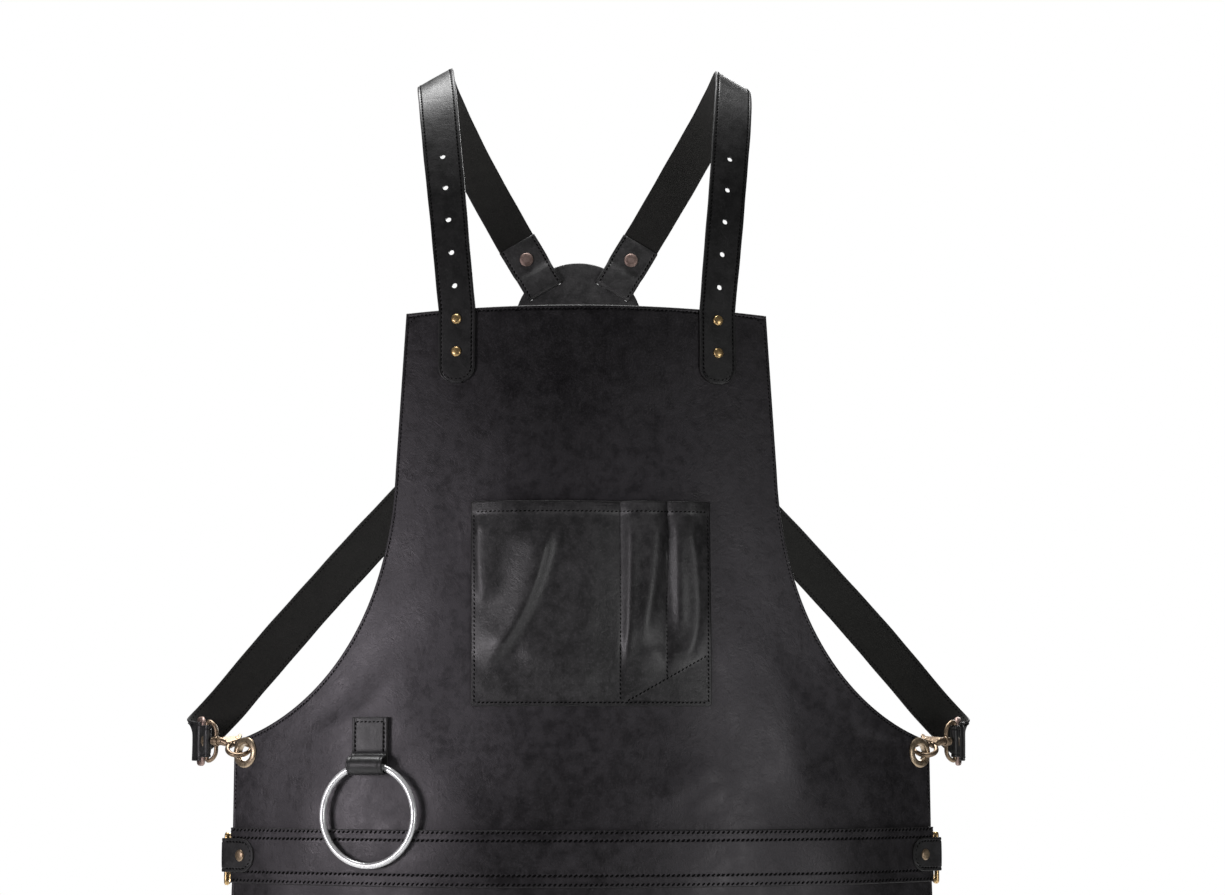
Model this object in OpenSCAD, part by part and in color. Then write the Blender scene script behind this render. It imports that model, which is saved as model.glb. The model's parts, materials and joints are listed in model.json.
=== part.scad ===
// Cross-back leather work apron, in the shape it takes when it is worn.
// X is to the right seen from the front, Y is to the back, Z is up. Millimetres.
// The origin is midway between the undersides of the two shoulder straps, at their tops.

/* [Body shape] */
// Radius of the curve that the apron takes round the body
body_r = 430; // [400:1:460]
// Distance from the shoulder tops forward to the front of the waist
belly_y = 130; // [120:1:140]
// Backward lean of the bib, in degrees
bib_lean = 3.5; // [2:0.5:5]

/* [Leather] */
// Thickness of the panels
panel_t = 2; // [1.6:0.2:2.4]
// Thickness of the straps
strap_t = 2.6; // [2:0.2:3]
// Thickness of the small tabs, links and the pocket
tab_t = 1.6; // [1.2:0.2:1.8]
// Air between neighbouring layers
lap = 0.3; // [0.2:0.05:0.4]

/* [Apron panels] */
// Depth of the middle of the bib's top edge below the shoulders
bib_top = 203; // [195:1:210]
// How much higher the middle of the top edge is than its corners
bib_crown = 4.5; // [0:0.5:8]
// Half of the bib's width at its top corners, along the leather
bib_half = 148; // [140:1:155]
// Half of the apron's width at the waist, along the leather
waist_half = 309; // [305:1:315]
// Depth of the waistband's top edge below the shoulders
waist_top = 618; // [610:1:625]
// Height of the waistband
waist_h = 44; // [38:1:50]
// Depth of the hem below the shoulders
hem = 1053; // [950:1:1150]
// Half of the hem's width, along the leather
hem_half = 322; // [309:1:330]
// Radius of the skirt's lower corners
hem_corner_r = 60; // [20:1:90]

/* [Chest pocket] */
// Left edge, from the centre line
pocket_left = -92.5; // [-110:0.5:-80]
// Right edge, from the centre line
pocket_right = 97.5; // [85:0.5:110]
// Seam between the main pocket and the pen pockets
pocket_seam = 25; // [15:0.5:35]
// Seam between the two pen pockets
pen_seam = 61.5; // [55:0.5:65]
// Depth of the pocket's mouth below the shoulders
pocket_top = 361; // [350:1:370]
// Height of the pocket
pocket_h = 161; // [150:1:170]
// How far the pocket stands open at its mouth
pocket_gape = 10; // [8:0.5:12]

/* [Straps] */
// Width of the shoulder straps at the bib
strap_w_front = 30; // [28:0.5:32]
// Width of the shoulder straps at the back
strap_w_back = 33.5; // [32:0.5:34]
// Width of the lower straps
lower_w = 34; // [32:0.5:34]
// Distance between the middles of the two straps at the shoulders
shoulder_gap = 248; // [240:1:256]
// Distance of each strap from the centre line on the bib, along the leather
strap_u = 105; // [100:1:110]
// Radius of the adjustment holes
hole_r = 2.2; // [2:0.1:2.5]
// Distance between the adjustment holes
hole_pitch = 27.5; // [27:0.5:30]

/* [Back yoke] */
// Radius of the round yoke
yoke_r = 56; // [55:0.5:60]
// Depth of the yoke's centre below the shoulders
yoke_drop = 189; // [187:1:191]
// Distance of the yoke behind the shoulder tops
yoke_y = 115; // [110:1:118]
// Distance from the yoke's centre to the inner edge of the bar at each slot
yoke_bar = 44.4; // [43:0.2:46]
// Length of a strap's folded end
fold_len = 45; // [42:1:50]

/* [Tool ring] */
// Radius of the ring, to the middle of its wire
ring_r = 39.2; // [36:0.2:42]
// Radius of the ring's wire
ring_wire = 2.5; // [2:0.1:3]
// Place of the ring along the leather
ring_u = -173.5; // [-180:0.5:-165]
// Depth of the top of the ring's wire below the shoulders
ring_drop = 568; // [564:1:572]
// Width of the ring's leather loop
ring_loop_w = 30; // [26:1:32]

/* [Side hardware] */
// Place of the eyelets along the leather
eyelet_u = 296; // [294:0.5:298]
// Depth of the eyelets below the shoulders
eyelet_drop = 558; // [555:1:561]
// Radius of the hole in an eyelet
eyelet_hole_r = 6.8; // [6.5:0.1:7]
// Radius of the eyelet's flange
eyelet_flange_r = 12.3; // [11.5:0.1:12.5]
// Radius of the wire of the buckles and swivel eyes
wire_r = 1.75; // [1.5:0.05:2]
// Height of the waist tabs
waist_tab_h = 27; // [24:1:30]
// Radius of the wire of the belt rings
belt_wire = 2; // [1.8:0.1:2.2]

/* [Hidden] */
$fn = 48;

leather = [0.16, 0.15, 0.16];
suede = [0.10, 0.10, 0.09];
old_brass = [0.55, 0.45, 0.30];
bright_brass = [0.72, 0.58, 0.33];
copper = [0.52, 0.38, 0.32];
steel = [0.85, 0.86, 0.88];

fine = 360;
lap_h = 9;
lean_z = -waist_top - lap_h / 2;
band_r = body_r + 0.7;
arc_y = body_r - belly_y;

// ---- vectors and curves ----

function unit(v) = v / norm(v);
function mix(a, b, t) = a * (1 - t) + b * t;
function smooth(t) = t * t * (3 - 2 * t);
function clamp01(t) = min(1, max(0, t));
function bezier(p, t) =
    pow(1 - t, 3) * p[0] + 3 * pow(1 - t, 2) * t * p[1] + 3 * (1 - t) * t * t * p[2] + pow(t, 3) * p[3];
function bezier_way(p, t) =
    unit(pow(1 - t, 2) * (p[1] - p[0]) + 2 * (1 - t) * t * (p[2] - p[1]) + t * t * (p[3] - p[2]));
function running(v, i = 0, sum = 0) =
    i >= len(v) ? [] : concat([sum + v[i]], running(v, i + 1, sum + v[i]));

// ---- the surface that the apron follows ----

// Turn along the arc, in degrees, and the sideways place of a distance u along the leather
function turn(u) = u / body_r * 180 / PI;
function arc_x(u) = body_r * sin(turn(u));
// Height along the leaning bib of a point at level z
function bib_h(u, z) = (z - lean_z + body_r * (1 - cos(turn(u))) * sin(bib_lean)) / cos(bib_lean);
// Point of the bib at u and level z, standing off its front by off
function bib_pt(u, z, off) =
    let (r = body_r + off, y = body_r - r * cos(turn(u)))
    let (h = (z - lean_z + y * sin(bib_lean)) / cos(bib_lean))
    [r * sin(turn(u)), -belly_y + y * cos(bib_lean) + h * sin(bib_lean), z];

// Places children on the bib's front: X along the leather, Y up, Z outwards
module on_bib(u, z) {
    translate([0, -belly_y, lean_z])
        rotate([-bib_lean, 0, 0])
            translate([0, body_r, bib_h(u, z)])
                rotate([0, 0, turn(u)])
                    translate([0, -body_r, 0])
                        rotate([90, 0, 0])
                            children();
}

// Places children on the upright front below the waist, in the same way
module on_waist(u, z) {
    translate([0, arc_y, z])
        rotate([0, 0, turn(u)])
            translate([0, -body_r, 0])
                rotate([90, 0, 0])
                    children();
}

// Upright curved sheet between two radii
module sheet_tube(r_in, r_out, z_low, z_high) {
    translate([0, arc_y, z_low])
        difference() {
            cylinder(r = r_out, h = z_high - z_low, $fn = fine);
            translate([0, 0, -1])
                cylinder(r = r_in, h = z_high - z_low + 2, $fn = fine);
        }
}

// Outline in the front view, drawn deep enough to cut the front half of a tube
module front_prism(points) {
    depth = belly_y + 60;
    translate([0, 40, 0])
        rotate([90, 0, 0])
            linear_extrude(height = depth)
                polygon(points);
}

// ---- panels ----

// Right half of the bib's outline as [distance along the leather, level]
armhole = [[156, -335], [161, -462], [225, -527], [waist_half - 7, -547]];
armhole_steps = 16;
corner_r = 7;
bib_right = concat(
    [for (i = [0:8]) [bib_half * i / 8, -bib_top - bib_crown * pow(i / 8, 2)]],
    [for (i = [0:armhole_steps]) bezier(armhole, i / armhole_steps)],
    [for (a = [60:-30:0]) [waist_half - corner_r + corner_r * cos(a), -547 - corner_r + corner_r * sin(a)]],
    [[waist_half, -waist_top - lap_h]]
);
bib_outline = concat(
    [for (p = bib_right) [arc_x(p[0]), p[1]]],
    [for (i = [len(bib_right) - 1:-1:1]) [-arc_x(bib_right[i][0]), bib_right[i][1]]]
);

module bib_panel() {
    color(leather)
        difference() {
            intersection() {
                translate([0, -belly_y, lean_z])
                    rotate([-bib_lean, 0, 0])
                        translate([0, belly_y, -lean_z])
                            sheet_tube(body_r - panel_t, body_r, -700, -bib_top + 60);
                front_prism(bib_outline);
            }
            for (side = [-1, 1]) {
                on_bib(side * eyelet_u, -eyelet_drop)
                    cylinder(r = eyelet_barrel_r + 0.05, h = 12, center = true);
                for (z = stud_levels)
                    on_bib(side * strap_u, z)
                        cylinder(r = stud_r + 0.05, h = 20, center = true);
            }
        }
}

module waistband() {
    band_x = arc_x(waist_half - 0.5);
    color(leather)
        difference() {
            intersection() {
                sheet_tube(band_r, band_r + panel_t, -waist_top - waist_h, -waist_top);
                front_prism([
                    [-band_x, -waist_top], [band_x, -waist_top],
                    [band_x, -waist_top - waist_h], [-band_x, -waist_top - waist_h]
                ]);
            }
            for (side = [-1, 1])
                tab_rivet_bore(side);
        }
}

// Right half of the skirt's outline
skirt_right = concat(
    [[0, -waist_top - waist_h + lap_h], [waist_half, -waist_top - waist_h + lap_h]],
    [for (a = [0:-15:-90])
        [hem_half - hem_corner_r * (1 - cos(a)), -hem + hem_corner_r * (1 + sin(a))]],
    [[0, -hem]]
);

module skirt_panel() {
    color(leather)
        intersection() {
            sheet_tube(body_r - panel_t, body_r, -hem - 5, -waist_top - waist_h + lap_h + 5);
            front_prism(concat(
                [for (p = skirt_right) [arc_x(p[0]), p[1]]],
                [for (i = [len(skirt_right) - 2:-1:1]) [-arc_x(skirt_right[i][0]), skirt_right[i][1]]]
            ));
        }
}

// ---- chest pocket ----

pocket_cols = 48;
pocket_rows = 14;
// How far the pocket's leather stands off the bib at u, and s from its mouth (0) to its foot (1)
function section_gape(u, from, to, s) =
    pocket_gape * sin(180 * clamp01((u - from) / (to - from))) * clamp01(1 - s * s);
function pen_foot(u) = 1 - 0.25 * clamp01((u - pocket_seam) / (pocket_right - pocket_seam));
function gape(u, s) =
    u < pocket_seam ? section_gape(u, pocket_left, pocket_seam, s)
        : u < pen_seam ? section_gape(u, pocket_seam, pen_seam, s / pen_foot(u))
        : section_gape(u, pen_seam, pocket_right, s / pen_foot(u));
function pocket_pt(col, row, off) =
    let (u = mix(pocket_left, pocket_right, col / pocket_cols), s = row / pocket_rows)
    bib_pt(u, -pocket_top - pocket_h * s, lap + off + gape(u, s));

// Closed sheet from a grid of points: front face, back face and rim
module grid_sheet(cols, rows, front, back) {
    w = cols + 1;
    n = w * (rows + 1);
    rim = concat(
        [for (c = [0:cols - 1]) [c, c + 1]],
        [for (r = [0:rows - 1]) [r * w + cols, (r + 1) * w + cols]],
        [for (c = [cols:-1:1]) [rows * w + c, rows * w + c - 1]],
        [for (r = [rows:-1:1]) [r * w, (r - 1) * w]]
    );
    polyhedron(
        points = concat(front, back),
        faces = concat(
            [for (r = [0:rows - 1]) for (c = [0:cols - 1])
                for (tri = [[0, 1, w + 1], [0, w + 1, w]]) [for (k = tri) k + r * w + c]],
            [for (r = [0:rows - 1]) for (c = [0:cols - 1])
                for (tri = [[0, w + 1, 1], [0, w, w + 1]]) [for (k = tri) k + r * w + c + n]],
            [for (e = rim) for (tri = [[e[0], e[0] + n, e[1] + n], [e[0], e[1] + n, e[1]]]) tri]
        )
    );
}

module chest_pocket() {
    color(leather)
        grid_sheet(pocket_cols, pocket_rows,
            [for (r = [0:pocket_rows]) for (c = [0:pocket_cols]) pocket_pt(c, r, tab_t)],
            [for (r = [0:pocket_rows]) for (c = [0:pocket_cols]) pocket_pt(c, r, 0)]);
}

// ---- tool ring and its loop ----

ring_stand = 8.8;
roll_r = 7.6;
ring_loop_top = 531;
// Sag of the ring's wire away from the loop's axis, at a distance s from the loop's middle
function ring_sag(s) = ring_r - sqrt(ring_r * ring_r - s * s);
ring_play = 0.35;

module ring_loop() {
    patch_h = ring_drop - ring_loop_top;
    color(leather)
        on_bib(ring_u, -ring_drop) {
            difference() {
                union() {
                    translate([-ring_loop_w / 2, 0, 1.1])
                        cube([ring_loop_w, patch_h, 2 * tab_t]);
                    translate([0, 0, ring_stand])
                        rotate([0, 90, 0])
                            cylinder(r = roll_r, h = ring_loop_w, center = true);
                    translate([-ring_loop_w / 2, 0, 1.1])
                        cube([ring_loop_w, roll_r, ring_stand - 1.1]);
                }
                translate([0, 0, ring_stand])
                    rotate([0, 90, 0])
                        rotate_extrude()
                            polygon(concat(
                                [for (s = [-16:2:16]) [ring_sag(s) + ring_wire + ring_play, s]],
                                [[0, 16], [0, -16]]
                            ));
            }
        }
}

module tool_ring() {
    color(steel)
        on_bib(ring_u, -ring_drop)
            translate([0, 0, ring_stand])
                rotate([bib_lean - 1, 0, 0])
                    translate([0, -ring_r, 0])
                        rotate_extrude($fn = 72)
                            translate([ring_r, 0])
                                circle(r = ring_wire, $fn = 24);
}

// ---- eyelets ----

eyelet_barrel_r = eyelet_hole_r + 0.8;
eyelet_back = -panel_t - 2;

module eyelet(side) {
    color(bright_brass)
        on_bib(side * eyelet_u, -eyelet_drop)
            rotate_extrude()
                polygon([
                    [eyelet_hole_r, eyelet_back], [eyelet_hole_r, 1.2], [eyelet_hole_r + 0.8, 1.9],
                    [eyelet_hole_r + 2.6, 2.1], [eyelet_flange_r - 1, 1.2], [eyelet_flange_r, 0.4],
                    [eyelet_flange_r - 0.4, 0.3], [eyelet_barrel_r, 0.3], [eyelet_barrel_r, eyelet_back + 0.7],
                    [eyelet_barrel_r + 1.4, eyelet_back + 0.7], [eyelet_barrel_r + 1.2, eyelet_back]
                ]);
}

module eyelet_washer(side) {
    color(old_brass)
        on_bib(side * eyelet_u, -eyelet_drop)
            translate([0, 0, -panel_t - 1.1])
                difference() {
                    cylinder(r = eyelet_flange_r - 0.8, h = 0.8);
                    translate([0, 0, -1])
                        cylinder(r = eyelet_barrel_r + 0.05, h = 3);
                }
}

// ---- straps ----

// A station of a strap is [centre, half-width vector, half-thickness vector]
function station(p, way, across, half_w, half_t) =
    let (w = unit(across - (across * way) * way))
    [p, w * half_w, cross(way, w) * half_t];

// Closed strap through a list of stations
module strap_solid(st) {
    n = len(st);
    corner = [[-1, -1], [1, -1], [1, 1], [-1, 1]];
    polyhedron(
        points = [for (s = st) for (c = corner) s[0] + c[0] * s[1] + c[1] * s[2]],
        faces = concat(
            [[0, 1, 2], [0, 2, 3]],
            [for (i = [0:n - 2]) for (k = [0:3])
                let (a = 4 * i + k, b = 4 * i + (k + 1) % 4)
                for (tri = [[a, a + 4, b + 4], [a, b + 4, b]]) tri],
            [[4 * n - 4, 4 * n - 2, 4 * n - 3], [4 * n - 4, 4 * n - 1, 4 * n - 2]]
        )
    );
}

// A strap's end folded round a bar: it runs on along way, turns towards side and comes back
fold_turns = 8;
function fold_stations(f, way, side, across, half_w, r, bar, reach) = concat(
    [for (i = [0:fold_turns])
        let (a = 180 * i / fold_turns, d = way * cos(a) + side * sin(a))
        station(f + way * (r * sin(a)) + side * (r - r * cos(a)), d, across, half_w, strap_t / 2)],
    [for (i = [1:6])
        let (t = i / 6, n = mix(2 * r, strap_t + 0.12, smooth(t)), s = -mix(bar, bar + 10, t))
        station(f + way * s + side * n, -way, across, half_w, strap_t / 2)],
    [station(f - way * reach + side * (strap_t + 0.12), -way, across, half_w, strap_t / 2)]
);

// Shoulder strap, right side: up the bib, over the shoulder, down the back and round the yoke's bar
shoulder_top = [shoulder_gap / 2, 0, strap_t / 2];
yoke_centre = [0, yoke_y, -yoke_drop];
bar_fold_r = panel_t / 2 + 0.25 + lap + strap_t / 2;
upper_way = [-0.51, 0, -0.86] / norm([0.51, 0, 0.86]);
upper_across = [-upper_way[2], 0, upper_way[0]];
upper_fold = yoke_centre - upper_way * yoke_bar + upper_across * 9.5 + [0, bar_fold_r, 0];
strap_off = lap + strap_t / 2;
strap_foot = -265;
strap_leaves_bib = -bib_top - 2;
bib_across = [cos(turn(strap_u)), sin(turn(strap_u)), 0];
rise_from = bib_pt(strap_u, strap_leaves_bib, strap_off);
rise_gain = (shoulder_top[0] - rise_from[0]) / (shoulder_top[2] - rise_from[2]);
rise = [
    rise_from,
    rise_from + [rise_gain * 120, 7.3, 120],
    shoulder_top - [0, 62, 0],
    shoulder_top
];
upper_run = upper_fold - shoulder_top;
drop_len = norm([upper_run[0], 0, upper_run[2]]);
drop = [
    shoulder_top,
    shoulder_top + [0, 60, 0],
    upper_fold - upper_way * (drop_len * 0.62),
    upper_fold - upper_way * 38
];
rise_steps = 26;
drop_steps = 18;

// Rounded lower end of a strap: half-width at distance d above its foot
foot_r = 13;
function foot_half(half_w, d) =
    d >= foot_r ? half_w : half_w - foot_r + sqrt(foot_r * foot_r - pow(foot_r - d, 2));

shoulder_stations = concat(
    [for (d = [0.4, 1.6, 3.6, 6.4, 9.6, 13, 30, 45])
        station(bib_pt(strap_u, strap_foot + d, strap_off), [0, sin(bib_lean), cos(bib_lean)],
            bib_across, foot_half(strap_w_front / 2, d), strap_t / 2)],
    [for (i = [0:rise_steps])
        let (t = i / rise_steps)
        station(bezier(rise, t), bezier_way(rise, t), mix(bib_across, upper_across, smooth(t)),
            mix(strap_w_front, strap_w_back, t) / 2, strap_t / 2)],
    [for (i = [1:drop_steps])
        let (t = i / drop_steps)
        station(bezier(drop, t), bezier_way(drop, t), upper_across, strap_w_back / 2, strap_t / 2)],
    fold_stations(upper_fold, upper_way, [0, -1, 0], upper_across, strap_w_back / 2,
        bar_fold_r, 12, fold_len)
);

// Levels of the two studs, and steps along the rise at which the adjustment holes lie
stud_levels = [-214, -240.5];
stud_r = 1.6;
rise_points = [for (i = [0:100]) bezier(rise, i / 100)];
rise_lengths = running([for (i = [0:100]) i == 0 ? 0 : norm(rise_points[i] - rise_points[i - 1])]);
function rise_at(length) = lookup(length, [for (i = [0:100]) [rise_lengths[i], i / 100]]);
first_hole = hole_pitch - (strap_leaves_bib - stud_levels[0]);
hole_steps = [for (i = [0:4]) rise_at(first_hole + i * hole_pitch)];

// Turns children's Z axis to lie along a vector
module facing(p, way) {
    translate(p)
        rotate([0, acos(way[2]), atan2(way[1], way[0])])
            children();
}

module shoulder_strap(side) {
    color(leather)
        mirror([side < 0 ? 1 : 0, 0, 0])
            difference() {
                strap_solid(shoulder_stations);
                for (z = stud_levels)
                    on_bib(strap_u, z)
                        cylinder(r = stud_r + 0.05, h = 20, center = true);
                for (t = hole_steps)
                    facing(bezier(rise, t), unit(cross(bezier_way(rise, t), rise_across(t))))
                        cylinder(r = hole_r, h = 12, center = true);
                yoke_rivet_bore(upper_fold, -upper_way);
            }
}
function rise_across(t) =
    let (w = mix(bib_across, upper_across, smooth(t)), way = bezier_way(rise, t))
    unit(w - (w * way) * way);

module strap_studs(side) {
    color(bright_brass)
        for (z = stud_levels)
            on_bib(side * strap_u, z) {
                translate([0, 0, -panel_t - 1.4])
                    cylinder(r = stud_r, h = panel_t + strap_t + 2.6);
                translate([0, 0, lap + strap_t + 0.2])
                    rotate_extrude()
                        polygon([[0, 0], [3.9, 0], [4.1, 0.6], [3.6, 1.5], [2.2, 2.1], [0, 2.3]]);
            }
}

module strap_stud_backs(side) {
    color(old_brass)
        for (z = stud_levels)
            on_bib(side * strap_u, z)
                translate([0, 0, -panel_t - 1.6])
                    difference() {
                        cylinder(r = 4.6, h = 1.3);
                        cylinder(r = stud_r + 0.05, h = 6, center = true);
                    }
}

// ---- yoke ----

lower_way = [0.68, 0, -0.733] / norm([0.68, 0, 0.733]);
lower_across = [-lower_way[2], 0, lower_way[0]];
lower_fold = yoke_centre + lower_way * yoke_bar + lower_across * 3.8 + [0, bar_fold_r, 0];
yoke_t = panel_t + 0.5;
slot_w = 5.4;

// Slot for a strap that leaves the yoke along way, with its bar's inner edge at yoke_bar
module yoke_slot(way, shift, strap_w) {
    angle = atan2(way[2], way[0]);
    rotate([0, 0, angle])
        translate([yoke_bar - slot_w, -strap_w / 2 - 0.6 + shift])
            square([slot_w, strap_w + 1.2]);
}

module back_yoke() {
    color(leather)
        translate([0, yoke_y + yoke_t / 2, -yoke_drop])
            rotate([90, 0, 0])
                linear_extrude(height = yoke_t)
                    difference() {
                        circle(r = yoke_r, $fn = 96);
                        for (side = [0, 1])
                            mirror([side, 0]) {
                                yoke_slot(-upper_way, -9.5, strap_w_back);
                                yoke_slot(lower_way, 3.8, lower_w);
                            }
                    }
}

rivet_r = 1.8;
rivet_up = 29;

// Bore for the rivet of a folded end; along points from the fold up the strap
module yoke_rivet_bore(fold, along) {
    translate(fold + along * rivet_up)
        rotate([90, 0, 0])
            cylinder(r = rivet_r + 0.05, h = 24, center = true);
}

// Rivet through the two plies of a folded strap end: dome towards the body, washer at the back
module yoke_rivet(fold, along) {
    translate(fold + along * rivet_up + [0, strap_t / 2 + 1, 0])
        rotate([90, 0, 0]) {
            cylinder(r = rivet_r, h = 2 * strap_t + 2.2);
            translate([0, 0, -0.4])
                cylinder(r = 5.4, h = 1.1);
            translate([0, 0, 2 * strap_t + 1.4])
                rotate_extrude()
                    polygon([[0, 0], [5.7, 0], [5.9, 0.5], [5.2, 1.2], [3, 1.8], [0, 2]]);
        }
}

module yoke_rivets(fold, along) {
    color(copper)
        for (side = [0, 1])
            mirror([side, 0, 0])
                yoke_rivet(fold, along);
}

// ---- side chain: strap end, buckle, link, swivel eye, hook ----

// Right side. The eye's bar stands upright at eye_bar; the link and buckle run back from it.
eye_depth = 9;
eye_half = 16;
eye_turn = 211.8;
link_turn = 75.5;
link_len = 20;
buckle_gap = 11;
hook_dip = 20;
hook_roll = -30;
neck_len = 6.4;
jaw_r = 9.2;
jaw_wire = 2;
jaw_x = 17.5;
jaw_target = bib_pt(eyelet_u, -eyelet_drop, -panel_t / 2 - 1.6);
eye_way = [cos(eye_turn), sin(eye_turn), 0];
eye_bar = jaw_target - eye_way * (eye_depth + neck_len + (jaw_x + jaw_r) * cos(hook_dip))
    + [0, 0, (jaw_x + jaw_r) * sin(hook_dip)];
link_way = [cos(link_turn), sin(link_turn), 0];
buckle_bar = eye_bar + link_way * (link_len + buckle_gap);
buckle_half = 18.3;
buckle_fold_r = wire_r + lap + strap_t / 2;

// Places children on the side chain of one side: X back along the link, Y inwards, Z up
module chain_frame(side) {
    mirror([side < 0 ? 1 : 0, 0, 0])
        translate(eye_bar)
            rotate([0, 0, link_turn])
                children();
}

// Places children at the swivel: X towards the jaw, Z up
module swivel_frame(side) {
    mirror([side < 0 ? 1 : 0, 0, 0])
        translate(eye_bar)
            rotate([0, 0, eye_turn])
                translate([eye_depth, 0, 0])
                    children();
}

// Lower strap, right side: from the yoke round the ribs to the buckle's middle bar
strap_bend = [292, 60, -514];
bend_way = unit([0.63, 0, -0.775]);
side_out = [link_way[1], -link_way[0], 0];
strap_in = buckle_bar + link_way * 14 + side_out * buckle_fold_r;
lower_main = [
    lower_fold + lower_way * 38,
    lower_fold + lower_way * 150,
    strap_bend - bend_way * 125,
    strap_bend
];
lower_turn = [
    strap_bend,
    strap_bend + bend_way * 22,
    strap_in + link_way * 22,
    strap_in
];
main_steps = 26;
turn_steps = 14;
turn_across = unit([0.775, 0, 0.63]);

lower_stations = concat(
    [station(lower_fold + lower_way * fold_len - [0, strap_t + 0.12, 0], -lower_way, lower_across,
        lower_w / 2, strap_t / 2)],
    [for (i = [6:-1:1])
        let (t = i / 6, n = mix(2 * bar_fold_r, strap_t + 0.12, smooth(t)))
        station(lower_fold + lower_way * mix(12, 22, t) - [0, n, 0], -lower_way, lower_across,
            lower_w / 2, strap_t / 2)],
    [for (i = [fold_turns:-1:0])
        let (a = 180 * i / fold_turns)
        station(lower_fold - lower_way * (bar_fold_r * sin(a)) - [0, bar_fold_r * (1 - cos(a)), 0],
            lower_way * cos(a) + [0, sin(a), 0], lower_across, lower_w / 2, strap_t / 2)],
    [for (i = [0:main_steps])
        let (t = i / main_steps)
        station(bezier(lower_main, t), bezier_way(lower_main, t), mix(lower_across, turn_across, t),
            lower_w / 2, strap_t / 2)],
    [for (i = [1:turn_steps])
        let (t = i / turn_steps)
        station(bezier(lower_turn, t), bezier_way(lower_turn, t), mix(turn_across, [0, 0, 1], smooth(t)),
            mix(lower_w, lower_w - 2, t) / 2, strap_t / 2)],
    fold_stations(buckle_bar + side_out * buckle_fold_r, -link_way, -side_out, [0, 0, 1],
        (lower_w - 2) / 2, buckle_fold_r, 14, 34)
);

module lower_strap(side) {
    color(suede)
        mirror([side < 0 ? 1 : 0, 0, 0])
            difference() {
                strap_solid(lower_stations);
                yoke_rivet_bore(lower_fold, lower_way);
            }
}

// Slide buckle: a rounded frame with a middle bar
module adjuster_buckle(side) {
    color(old_brass)
        chain_frame(side) {
            for (x = [link_len, link_len + buckle_gap, link_len + 2 * buckle_gap])
                translate([x, 0, 0])
                    cylinder(r = wire_r, h = 2 * buckle_half, center = true);
            for (end = [-1, 1])
                translate([link_len, 0, end * buckle_half])
                    rotate([0, 90, 0])
                        cylinder(r = wire_r + 0.2, h = 2 * buckle_gap);
            for (end = [-1, 1])
                for (x = [link_len, link_len + 2 * buckle_gap])
                    translate([x, 0, end * buckle_half])
                        sphere(r = wire_r + 0.2);
        }
}

// Leather link: two plies wrapped round the eye's bar and the buckle's front bar
link_w = 26;
module hook_link(side) {
    wrap_r = wire_r + lap;
    color(leather)
        chain_frame(side)
            difference() {
                translate([0, 0, -link_w / 2])
                    linear_extrude(height = link_w)
                        difference() {
                            union() {
                                for (x = [0, link_len])
                                    translate([x, 0])
                                        circle(r = wrap_r + tab_t);
                                translate([0, -tab_t])
                                    square([link_len, 2 * tab_t]);
                            }
                            for (x = [0, link_len])
                                translate([x, 0])
                                    circle(r = wrap_r);
                        }
                translate([link_len / 2, 0, 0])
                    rotate([90, 0, 0])
                        cylinder(r = 1.55, h = 20, center = true);
            }
}

module link_rivet(side) {
    color(copper)
        chain_frame(side)
            translate([link_len / 2, 0, 0])
                rotate([90, 0, 0]) {
                    cylinder(r = 1.5, h = 2 * tab_t + 1.6, center = true);
                    for (end = [0, 1])
                        mirror([0, 0, end])
                            translate([0, 0, tab_t + 0.2])
                                rotate_extrude()
                                    polygon([[0, 0], [3.9, 0], [4.1, 0.5], [3.4, 1.2], [0, 1.6]]);
                }
}

// Swivel eye: an upright D with a collar at its apex
collar_r = 4.1;
collar_half = 2.2;
post_r = 2.2;
module swivel_eye(side) {
    bend_r = eye_depth;
    color(old_brass)
        swivel_frame(side)
            difference() {
                union() {
                    translate([-eye_depth, 0, 0])
                        cylinder(r = wire_r, h = 2 * eye_half, center = true);
                    for (end = [0, 1])
                        mirror([0, 0, end]) {
                            translate([-eye_depth, 0, eye_half])
                                sphere(r = wire_r);
                            translate([-eye_depth, 0, eye_half - bend_r])
                                rotate([90, 0, 0])
                                    rotate_extrude(angle = 90)
                                        translate([bend_r, 0])
                                            circle(r = wire_r, $fn = 24);
                        }
                    cylinder(r = wire_r, h = 2 * (eye_half - bend_r), center = true);
                    rotate([0, 90, 0])
                        cylinder(r = collar_r, h = 2 * collar_half, center = true);
                }
                rotate([0, 90, 0])
                    cylinder(r = post_r + 0.05, h = 12, center = true);
            }
}

// Places children in the jaw's own frame: X along the hook, Z square to the jaw
module jaw_frame() {
    translate([neck_len, 0, 0])
        rotate([0, hook_dip, 0])
            rotate([hook_roll, 0, 0])
                children();
}

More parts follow.
